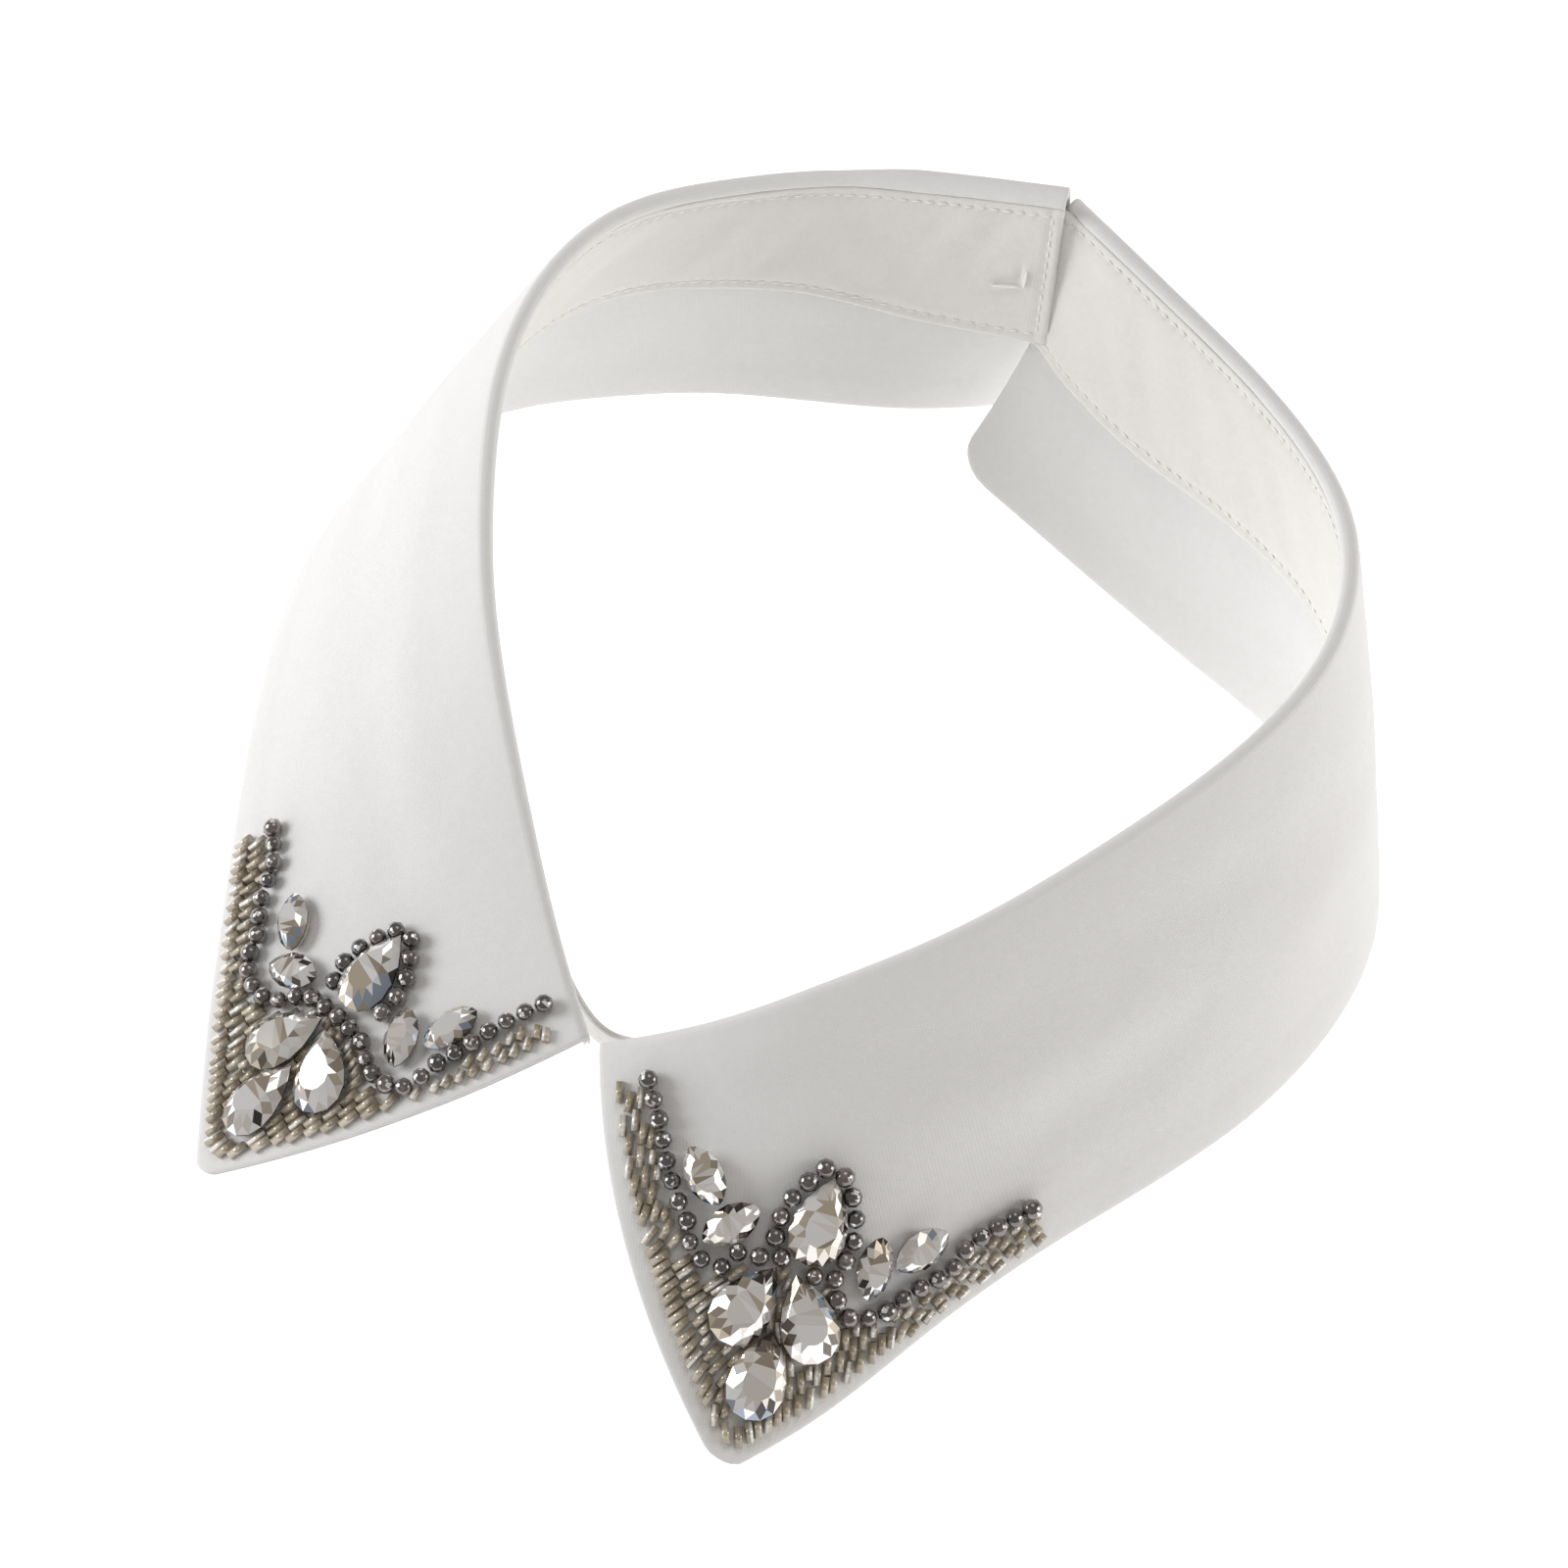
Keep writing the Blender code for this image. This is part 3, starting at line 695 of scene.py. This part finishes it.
class sprayPlane:
    def __init__(self, side, clothMesh):
        fold, along, out, edge = leafFrame(side, 0)
        lift = leafShape["rimWidth"] / 2
        self.corner = edge - leafShape["rimWidth"] * out
        lowest = leafSection(side, spray["planeStation"], lift, relief=False)[0][-1]
        frontLine, flat = leafSection(side, 0, lift, relief=False)
        wall = flat[2 + plyCut["rollSteps"]:, 1] - flat[1 + plyCut["rollSteps"], 1]
        frontPoints = frontLine[2 + plyCut["rollSteps"]:]
        level = wall[-1] * spray["planeShare"]
        upper = np.array([np.interp(level, wall, column) for column in frontPoints.T])
        toEdge, toFront = unit(lowest - self.corner), unit(upper - self.corner)
        self.halving = unit(toEdge + toFront)
        self.toFront = unit(toFront - (toFront @ self.halving) * self.halving)
        normal = np.cross(self.halving, self.toFront)
        self.normal = normal if normal[2] > 0 else -normal
        self.cloth = BVHTree.FromPolygons([vert.co for vert in clothMesh.vertices],
                                          [face.vertices for face in clothMesh.polygons])
        edgeLine = [leafSection(side, s, lift, relief=False)[0][-1] for s in np.linspace(0, 4.5, 60)]
        self.frontEdge = self.flatten(frontPoints)
        self.lowerEdge = self.flatten(np.array(edgeLine))

    def flatten(self, points):
        return np.stack(((points - self.corner) @ self.halving, (points - self.corner) @ self.toFront), axis=1)

    def onCloth(self, out, aside):      # the place on the cloth, in the frame, and the cloth's normal
        over = self.corner + out * self.halving + aside * self.toFront + spray["castFrom"] * self.normal
        place, normal = self.cloth.ray_cast(inFrame(over), -Vector(self.normal))[:2]
        return place, normal if normal.dot(Vector(self.normal)) > 0 else -normal

    def matrixAt(self, out, aside, turn, lift):
        place, normal = self.onCloth(out, aside)
        place = place + (plyCut["leafPly"] / 2 + lift) * mm * normal
        return placeMatrix(place, math.cos(turn) * self.halving + math.sin(turn) * self.toFront, normal)


sprayPlanes = {side: sprayPlane(side, leaves[side]["Top"].data) for side in ("left", "right")}

stoneCut = {
    "rings": (                  # share of the outline, share of the height, turned by half a step
        (0.78, 0.0, 0),
        (1.0, 0.42, 0),
        (1.0, 0.50, 0),
        (0.80, 0.76, 1),
        (0.55, 1.0, 0)),
    "girdleFlatness": 0.2,      # facets steeper than this belong to the dark rim, coloured with painted shade
    "girdleShadeTone": 0.06,
    "sectors": 9,
    # the crown's tones are painted reflections: dark, grey, bluish and white facets
    "tones": (0.04, 0.16, 0.30, 0.45, 0.60, 0.62, 0.72, 0.80, 0.80, 0.92, 0.98, 0.98),
    "tableReflectionTones": (0.30, 0.45, 0.60, 0.80, 0.80, 0.92, 0.98),
}


def stoneOutline(kind, angle):
    length, width = spray["sizes"][kind][:2]
    x, y = math.cos(angle), math.sin(angle)
    if kind == "pear":
        y *= max(1 - 0.5 * x - 0.5 * max(x, 0) ** 3, 0) ** 0.75
    else:
        y *= abs(y) ** 0.32
    return x * length / 2, y * width / 2


def cutStone(kind):
    height, sides = spray["sizes"][kind][2:]
    shape = bmesh.new()
    bmesh.ops.create_circle(shape, cap_ends=True, segments=sides, radius=1)
    top = shape.faces[:][0]
    if top.normal.z < 0:
        bmesh.ops.reverse_faces(shape, faces=[top])

    def setRing(face, ring):
        share, level, turned = ring
        for corner, vert in enumerate(face.verts):
            x, y = stoneOutline(kind, 2 * math.pi * (corner + turned / 2) / sides)
            vert.co = (x * share * mm, y * share * mm, level * height * mm)

    setRing(top, stoneCut["rings"][0])
    back = top.copy()
    back.normal_flip()
    for ring in stoneCut["rings"][1:]:
        made = bmesh.ops.extrude_discrete_faces(shape, faces=[top])
        top = made["faces"][0]
        setRing(top, ring)
    crown = [face for face in shape.faces if face is not back]
    bmesh.ops.triangulate(shape, faces=crown, quad_method="SHORT_EDGE", ngon_method="BEAUTY")
    bmesh.ops.recalc_face_normals(shape, faces=shape.faces)
    mesh = bpy.data.meshes.new(kind + "Template")
    shape.to_mesh(mesh)
    shape.free()
    return mesh


def stoneReflectionTones(mesh, seed):      # painted reflections: dark, grey and white facets; those of one sector share a tone
    draw = random.Random(seed)
    top = max(vert.co.z for vert in mesh.vertices)
    tones, sectors = [], {}
    for face in mesh.polygons:
        centre = face.center
        level = round(centre.z / top * 4)
        sector = round(math.atan2(centre.y, centre.x) / math.pi * stoneCut["sectors"] / 2)
        # steep rim facets get painted shade, the others painted reflections
        if abs(face.normal.z) < stoneCut["girdleFlatness"]:
            tones.append(stoneCut["girdleShadeTone"])
        else:
            palette = stoneCut["tableReflectionTones" if level == 4 else "tones"]
            tones.append(sectors.setdefault((level, sector), draw.choice(palette)))
    return tones


def foiledGlass():
    # Cut lead glass with a silver foil behind it. Its sharp white, grey and black facets with a little bluish fire
    # are painted reflections.
    material, tree, shader = newMaterial("foiledCutGlass", {
        "Metallic": 0.65, "Roughness": 0.05, "IOR": 1.55, "Coat Weight": 1.0, "Coat Roughness": 0.02})
    toneRamp(tree, shader, ((0.0, "#2f2a26"), (0.12, "#6d655b"), (0.25, "#a89c8b"), (0.40, "#c9bda9"),
                            (0.52, "#e6e2da"), (0.70, "#9ba7b6"), (0.75, "#f4f1ec"), (0.88, "#ffffff")),
             "CONSTANT")
    return material


def toneRamp(tree, shader, stops, interpolation):      # colours each face by its tone, painted glint or painted reflection
    tone = addNode(tree, "ShaderNodeAttribute", {"attribute_type": "GEOMETRY", "attribute_name": "facetToneAndGlint"})
    ramp = addNode(tree, "ShaderNodeValToRGB", {}, {"Fac": tone.outputs["Fac"]})
    ramp.color_ramp.interpolation = interpolation
    setRamp(ramp, stops)
    tree.links.new(ramp.outputs["Color"], shader.inputs["Base Color"])


# stores each face's tone, with its painted glints and painted reflections
def setTones(mesh, tones):
    mesh.attributes.new("facetToneAndGlint", "FLOAT", "FACE").data.foreach_set("value", tones)


stoneGlass = foiledGlass()


def buildStones(side):
    for number, (name, kind, out, aside, turn) in enumerate(spray["stones"][side]):
        stone = cutStone(kind)
        tones = stoneReflectionTones(stone, number * 7 + (3 if side == "left" else 0))
        stone.transform(sprayPlanes[side].matrixAt(out, aside, math.radians(turn), spray["lift"]))
        setTones(stone, tones)
        words = name.split("_")
        title = words[0] + "".join(word.capitalize() for word in words[1:]) + side.capitalize()
        stone.name = title
        piece = finishPiece(title, stone, stoneGlass, smooth=False)
        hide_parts(name + "_" + side)
    print("stones", side, len(spray["stones"][side]))


def hematiteGlass():
    # Faceted round glass coated like hematite: almost black, brown in places, with hard bright glints; the
    # near-white colours are painted glints beside the coat's real reflections.
    material, tree, shader = newMaterial("hematiteCoatedGlass", {
        "Metallic": 0.45, "Roughness": 0.14, "Coat Weight": 1.0, "Coat Roughness": 0.04, "Coat IOR": 2.2})
    toneRamp(tree, shader, ((0.0, "#1f1b1a"), (0.45, "#48403d"), (0.80, "#80756f"), (0.9, "#e0dbd6"),
                            (1.0, "#ffffff")), "LINEAR")
    return material


def silverLinedGlass():
    # Bugle beads of smoky glass with a silvered hole: champagne, with a painted white glint along each tube.
    material, tree, shader = newMaterial("silverLinedGlass", {
        "Metallic": 0.12, "Roughness": 0.20, "IOR": 1.5, "Coat Weight": 1.0, "Coat Roughness": 0.04,
        "Coat IOR": 1.8})
    toneRamp(tree, shader, ((0.0, "#a4977f"), (0.5, "#c8bca7"), (0.8, "#e4dccd"), (1.0, "#ffffff")), "LINEAR")
    return material


hematite = hematiteGlass()
silverLined = silverLinedGlass()

beads = {
    "size": 2.8,
    "pitch": 2.7,
    "sizeSpread": 0.08,
    "tilt": 0.5,
    "settleRounds": 80,
    "stoneGap": 1.15,           # from a stone's outline to a bead's middle: it tucks in under the girdle
    "haloReach": 128,           # degrees of the top pear's outline, either way from its tip
    "strand": {
        "left": ((46.7, 29.1), (42.3, 26.6), (37.2, 24.2), (31.9, 21.9), (27.6, 20.0), (25.9, 16.4),
                 (26.6, 12.8), (28.0, 9.8), (28.9, 6.0), (29.2, 2.2), (28.6, -2.4), (26.6, -6.2),
                 (26.0, -10.4), (28.3, -14.6), (32.2, -16.8), (36.5, -19.6), (41.4, -21.9), (45.4, -25.7)),
        "right": ((46.7, 25.6), (42.0, 22.6), (37.0, 19.8), (32.2, 16.5), (28.6, 13.5), (26.3, 10.4),
                  (28.0, 7.8), (29.4, 4.4), (28.8, 0.8), (28.4, -3.2), (27.3, -6.6), (26.3, -9.8),
                  (28.0, -13.4), (31.5, -16.4), (36.1, -20.0), (40.5, -22.2), (44.8, -25.7), (47.7, -28.5)),
    },
}


def beadTonesAndGlints(template):      # dark facets that differ a little, and one or two painted white glints
    base = randomDraw.uniform(0.1, 0.55)
    tones = [base + randomDraw.uniform(-0.1, 0.3) for _ in template.polygons]
    upper = [face.index for face in template.polygons if face.normal.z > 0.35]
    # painted glints: one or two upward facets are made white
    for index in randomDraw.sample(upper, randomDraw.choice((1, 1, 2))):
        tones[index] = 1.0
    return [min(max(tone, 0), 1) for tone in tones]


def bugleTonesAndGlints(template):      # a tan tube, often with a painted white glint along its top face
    base = randomDraw.uniform(0.0, 0.6)
    tones = [min(max(base + randomDraw.uniform(-0.08, 0.12), 0), 1) for _ in template.polygons]
    upper = [face.index for face in template.polygons if face.normal.z > 0.8]
    # painted glint: one upward face of the tube made near-white
    if randomDraw.random() < bugles["paintedGlintShare"]:
        tones[randomDraw.choice(upper)] = randomDraw.uniform(0.9, 1.0)
    return tones


def evenPoints(knots, pitch):      # evenly spaced points on a smooth line through a few
    curve = naturalSpline(knots)
    dense = np.array([curve(t) for t in np.linspace(0, len(knots) - 1, 40 * len(knots))])
    run = np.concatenate(([0], np.cumsum(np.linalg.norm(np.diff(dense, axis=0), axis=1))))
    stops = np.linspace(0, run[-1], int(run[-1] / pitch) + 1)
    return np.stack([np.interp(stops, run, column) for column in dense.T], axis=1)


def stoneRing(row, reach=180):      # a stone's outline on the plane, with the ways out of it
    kind, out, aside, turn = row[1:]
    turn = math.radians(turn)
    degrees = np.arange(-reach, reach, 6)
    flat = np.array([stoneOutline(kind, math.radians(d)) for d in degrees])
    ahead = np.array([stoneOutline(kind, math.radians(d + 2)) for d in degrees])
    behind = np.array([stoneOutline(kind, math.radians(d - 2)) for d in degrees])
    run = ahead - behind
    away = np.stack((run[:, 1], -run[:, 0]), axis=1) / np.linalg.norm(run, axis=1)[:, None]
    spin = np.array(((math.cos(turn), math.sin(turn)), (-math.sin(turn), math.cos(turn))))
    return flat @ spin + (out, aside), away @ spin


def ringDistance(points, ring):      # how far outside a stone each point is, and the way out
    outline, away = ring
    apart = points[:, None] - outline[None]
    nearest = np.argmin(np.linalg.norm(apart, axis=2), axis=1)
    chosen = np.arange(len(points))
    distance = np.linalg.norm(apart[chosen, nearest], axis=1)
    inside = np.sum(apart[chosen, nearest] * away[nearest], axis=1) < 0
    return np.where(inside, -distance, distance), away[nearest]


def settle(points, rings):      # push beads apart and off the stones, as the thread does
    points = points.copy()
    for _ in range(beads["settleRounds"]):
        apart = points[:, None] - points[None]
        distance = np.linalg.norm(apart, axis=2) + np.eye(len(points))
        push = np.maximum(beads["size"] - distance, 0) * (1 - np.eye(len(points)))
        points += 0.45 * np.sum(apart / distance[..., None] * push[..., None], axis=1)
        for ring in rings:
            distance, away = ringDistance(points, ring)
            points += np.maximum(beads["stoneGap"] - distance, 0)[:, None] * away
    return points


def layBeads(side):
    rings = [stoneRing(row) for row in spray["stones"][side]]
    outline, away = stoneRing(spray["stones"][side][0], beads["haloReach"])
    halo = evenPoints(outline[::3] + beads["stoneGap"] * away[::3], beads["pitch"])
    strand = evenPoints(beads["strand"][side], beads["pitch"])
    far = [min(np.linalg.norm(strand - point, axis=1)) > 0.7 * beads["size"] for point in halo]
    return settle(np.concatenate((strand, halo[far])), rings), rings


def buildBeads(side):
    shape = bmesh.new()
    bmesh.ops.create_uvsphere(shape, u_segments=9, v_segments=6, radius=beads["size"] / 2 * mm)
    bmesh.ops.scale(shape, verts=shape.verts, vec=(1, 1, 0.9))
    template = bpy.data.meshes.new("beadTemplate")
    shape.to_mesh(template)
    shape.free()
    points, rings = layBeads(side)
    places = []
    for out, aside in points:
        size = 1 + randomDraw.uniform(-beads["sizeSpread"], beads["sizeSpread"])
        place = sprayPlanes[side].matrixAt(out, aside, randomDraw.uniform(0, math.pi), beads["size"] / 2)
        tilt = Matrix.Rotation(randomDraw.uniform(-beads["tilt"], beads["tilt"]), 4, "X")
        places.append(place @ tilt @ Matrix.Scale(size, 4))
    scatter("gunmetalBeads" + side.capitalize(), template, places, hematite, True, beadTonesAndGlints)
    bpy.data.meshes.remove(template)
    print("beads", side, len(places))
    return points, rings


bugles = {
    "length": 2.9,
    "shortLength": 1.9,
    "width": 1.2,
    "hole": 0.5,
    "candidateStep": 0.3,
    "jitter": 0.06,
    "paintedGlintShare": 0.7,             # share of them with a painted glint line
    "bareFront": {"left": 1.6, "right": 2.3},       # cloth left bare outside the beads
    "bareEdge": 1.9,
    "bareCorner": 4.0,
    "pastStrand": 0.4,          # how far they go on beyond the strand's ends
    "stoneGap": -0.5,           # they tuck in under the stones' girdles
    "beadGap": 1.55,
    "packing": 0.93,            # share of their width that they keep from each other
    "spread": 0.10,             # radians either way
    # how they lie, in degrees from the halving line: (out, degrees) towards each edge
    "lie": {
        "left": {"front": ((4, 20), (17, 17), (23, 13), (26.5, -7), (33, -7), (38.5, -13), (45, -39)),
                 "edge": ((4, 20), (10, 15), (18, 28), (23, 24), (31, 27), (35, 36), (42, 39))},
        "right": {"front": ((6, 20), (10, -15), (15, -29), (25, -42), (29.6, -10), (34, 6), (45, 8)),
                  "edge": ((5, 20), (12, 21), (17, 18), (25, 19), (27, -22), (34, -26), (45, -20))},
    },
    "shortFrom": {"left": {"front": 25.0, "edge": 60.0}, "right": {"front": 60.0, "edge": 26.5}},
}


def bugleTemplate(length):
    shape = bmesh.new()
    radius = bugles["width"] / 2 * mm
    bmesh.ops.create_cone(shape, cap_ends=True, segments=8, radius1=radius, radius2=radius, depth=length * mm)
    caps = [face for face in shape.faces if len(face.verts) == 8]
    bmesh.ops.inset_individual(shape, faces=caps, thickness=(bugles["width"] - bugles["hole"]) / 2 * mm)
    for face in [face for face in shape.faces if len(face.verts) == 8]:
        for vert in face.verts:
            vert.co.z *= 0.6
    bmesh.ops.rotate(shape, verts=shape.verts, cent=(0, 0, 0), matrix=Matrix.Rotation(math.pi / 2, 3, "Y"))
    mesh = bpy.data.meshes.new("bugleTemplate")
    shape.to_mesh(mesh)
    shape.free()
    return mesh


def lineDistance(points, line):
    dense = np.stack([np.interp(np.linspace(0, len(line) - 1, 300), np.arange(len(line)), column)
                      for column in line.T], axis=1)
    return np.min(np.linalg.norm(points[:, None] - dense[None], axis=2), axis=1)


def insideLine(points, line):      # whether points lie inside a closed line
    x, y = points[:, :1], points[:, 1:]
    ahead = np.roll(line, -1, axis=0)
    crosses = (line[:, 1] > y) != (ahead[:, 1] > y)
    with np.errstate(divide="ignore", invalid="ignore"):
        at = line[:, 0] + (y - line[:, 1]) * (ahead[:, 0] - line[:, 0]) / (ahead[:, 1] - line[:, 1])
    return np.sum(crosses & (x < at), axis=1) % 2 == 1


def layBugles(side, beadPoints, rings):      # packed from the edges inwards, then the short ones between
    plane = sprayPlanes[side]
    strand = evenPoints(beads["strand"][side], 1.0)
    alongFront, alongEdge = unit(plane.frontEdge[0] - plane.frontEdge[-1]), unit(plane.lowerEdge[-1])
    closed = np.concatenate((strand, ((90, strand[-1, 1]), (90, strand[0, 1]))))
    closedLeaf = np.concatenate((plane.frontEdge, plane.lowerEdge))
    step, jitter = bugles["candidateStep"], bugles["jitter"]
    grid = np.array([(o, a) for o in np.arange(3, 52, step) for a in np.arange(-40, 42, step)])
    grid = grid + np.array([[randomDraw.uniform(-jitter, jitter) for _ in (0, 1)] for _ in grid])
    grid = grid[insideLine(grid, closedLeaf) & ~insideLine(grid, closed)]
    grid = grid[(grid @ alongFront < strand[0] @ alongFront + bugles["pastStrand"])
                & (grid @ alongEdge < strand[-1] @ alongEdge + bugles["pastStrand"])]
    toFront, toEdge = lineDistance(grid, plane.frontEdge), lineDistance(grid, plane.lowerEdge)
    order = np.argsort(np.minimum(toFront, toEdge) + np.array([randomDraw.uniform(0, 0.2) for _ in grid]))
    kept, discs = [], np.empty((0, 2))
    for filling in (False, True):
        for index in order:
            zone = "front" if toFront[index] < toEdge[index] else "edge"
            out, aside = grid[index]
            outs, lies = zip(*bugles["lie"][side][zone])
            lie = math.radians(np.interp(out, outs, lies)) + randomDraw.uniform(-bugles["spread"], bugles["spread"])
            short = filling or out > bugles["shortFrom"][side][zone]
            length = bugles["shortLength"] if short else bugles["length"]
            way = np.array((math.cos(lie), math.sin(lie)))
            body = grid[index] + np.outer(np.array((-0.33, 0, 0.33)) * length, way)
            apart = np.linalg.norm(body[:, None] - discs[None], axis=2)
            if len(discs) and apart.min() < bugles["width"] * bugles["packing"]:
                continue
            if np.linalg.norm(body[:, None] - beadPoints[None], axis=2).min() < bugles["beadGap"]:
                continue
            ends = grid[index] + np.outer(np.array((-0.5, 0, 0.5)) * length, way)
            if ends[:, 0].min() < bugles["bareCorner"] or not all(insideLine(ends, closedLeaf)):
                continue
            if lineDistance(ends, plane.frontEdge).min() < bugles["bareFront"][side]:
                continue
            if lineDistance(ends, plane.lowerEdge).min() < bugles["bareEdge"]:
                continue
            if min(ringDistance(ends, ring)[0].min() for ring in rings) < bugles["stoneGap"]:
                continue
            discs = np.concatenate((discs, body))
            kept.append((out, aside, lie, short))
    return kept


def buildBugles(side, beadPoints, rings):
    templates = {False: bugleTemplate(bugles["length"]), True: bugleTemplate(bugles["shortLength"])}
    laid = layBugles(side, beadPoints, rings)
    for short, name in ((False, "buglesLong"), (True, "buglesShort")):
        places = [sprayPlanes[side].matrixAt(out, aside, lie, bugles["width"] / 2)
                  for out, aside, lie, isShort in laid if isShort == short]
        scatter(name + side.capitalize(), templates[short], places, silverLined, True,
                bugleTonesAndGlints)
        bpy.data.meshes.remove(templates[short])
    print("bugles", side, len(laid))


for side in ("left", "right"):
    buildStones(side)
    buildBugles(side, *buildBeads(side))


def pressedResin():
    # Pressed polyester resin, like a shirt button: creamy, glossy and slightly see-through at the rim.
    return newMaterial("pressedPolyesterResin", {
        "Base Color": hexToLinear("#eeeae0"), "Roughness": 0.25, "IOR": 1.55, "Subsurface Weight": 0.1,
        "Subsurface Scale": 0.001})[0]


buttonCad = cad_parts["back_button"]
buttonCad.data.materials.clear()
buttonCad.data.materials.append(pressedResin())

studio = {
    "floor": "#ffffff",         # an acrylic table lit from below, which keeps the ground white
    "backlight": 0.60,
    "world": ("#fffaf6", 0.34),
    "target": (-3.11, 6.14, 0.0),
    "distance": 800.0,
    "azimuth": 30.34,
    "elevation": 59.0,
    "lens": 127.8,
    # name, place in metres, size, watts, colour
    "lamps": (
        ("keyFrontLeft", (-0.95, -0.45, 0.45), 0.60, 7.0, "#fdfeff"),
        ("fillRight", (0.95, 0.40, 0.28), 0.50, 3.4, "#fffdfb"),
        ("topSoft", (0.0, 0.3, 1.1), 0.6, 1.5, "#fffdfb")),
}


def buildStudio():
    shape = bmesh.new()
    bmesh.ops.create_grid(shape, x_segments=1, y_segments=1, size=2.5)
    mesh = bpy.data.meshes.new("floor")
    shape.to_mesh(mesh)
    shape.free()
    floor = bpy.data.objects.new("floor", mesh)
    bpy.context.scene.collection.objects.link(floor)
    material, tree, shader = newMaterial("backlitAcrylicTable", {
        "Base Color": hexToLinear(studio["floor"]), "Roughness": 0.9, "Specular IOR Level": 0.1,
        "Emission Color": hexToLinear(studio["floor"]), "Emission Strength": studio["backlight"]})
    mesh.materials.append(material)
    floor.location.z = -0.0002

    world = bpy.data.worlds.new("softRoom")
    world.use_nodes = True
    background = world.node_tree.nodes["Background"]
    background.inputs["Color"].default_value = hexToLinear(studio["world"][0])
    background.inputs["Strength"].default_value = studio["world"][1]
    bpy.context.scene.world = world

    for name, place, size, watts, colour in studio["lamps"]:
        lamp = bpy.data.lights.new(name, "AREA")
        lamp.shape = "SQUARE"
        lamp.size = size
        lamp.energy = watts
        lamp.color = hexToLinear(colour)[:3]
        item = bpy.data.objects.new(name, lamp)
        item.location = place
        item.rotation_mode = "QUATERNION"
        item.rotation_quaternion = (-Vector(place)).to_track_quat("-Z", "Y")
        bpy.context.scene.collection.objects.link(item)

    azimuth, elevation = math.radians(studio["azimuth"]), math.radians(studio["elevation"])
    back = Vector((math.sin(azimuth) * math.cos(elevation), -math.cos(azimuth) * math.cos(elevation),
                   math.sin(elevation)))
    lens = bpy.data.cameras.new("photoCamera")
    lens.lens = studio["lens"]
    lens.sensor_width = 36
    camera = bpy.data.objects.new("photoCamera", lens)
    camera.location = (Vector(studio["target"]) + back * studio["distance"]) * mm
    camera.rotation_mode = "QUATERNION"
    camera.rotation_quaternion = (-back).to_track_quat("-Z", "Y")
    bpy.context.scene.collection.objects.link(camera)
    bpy.context.scene.camera = camera


buildStudio()
bpy.context.scene.view_settings.view_transform = "Standard"
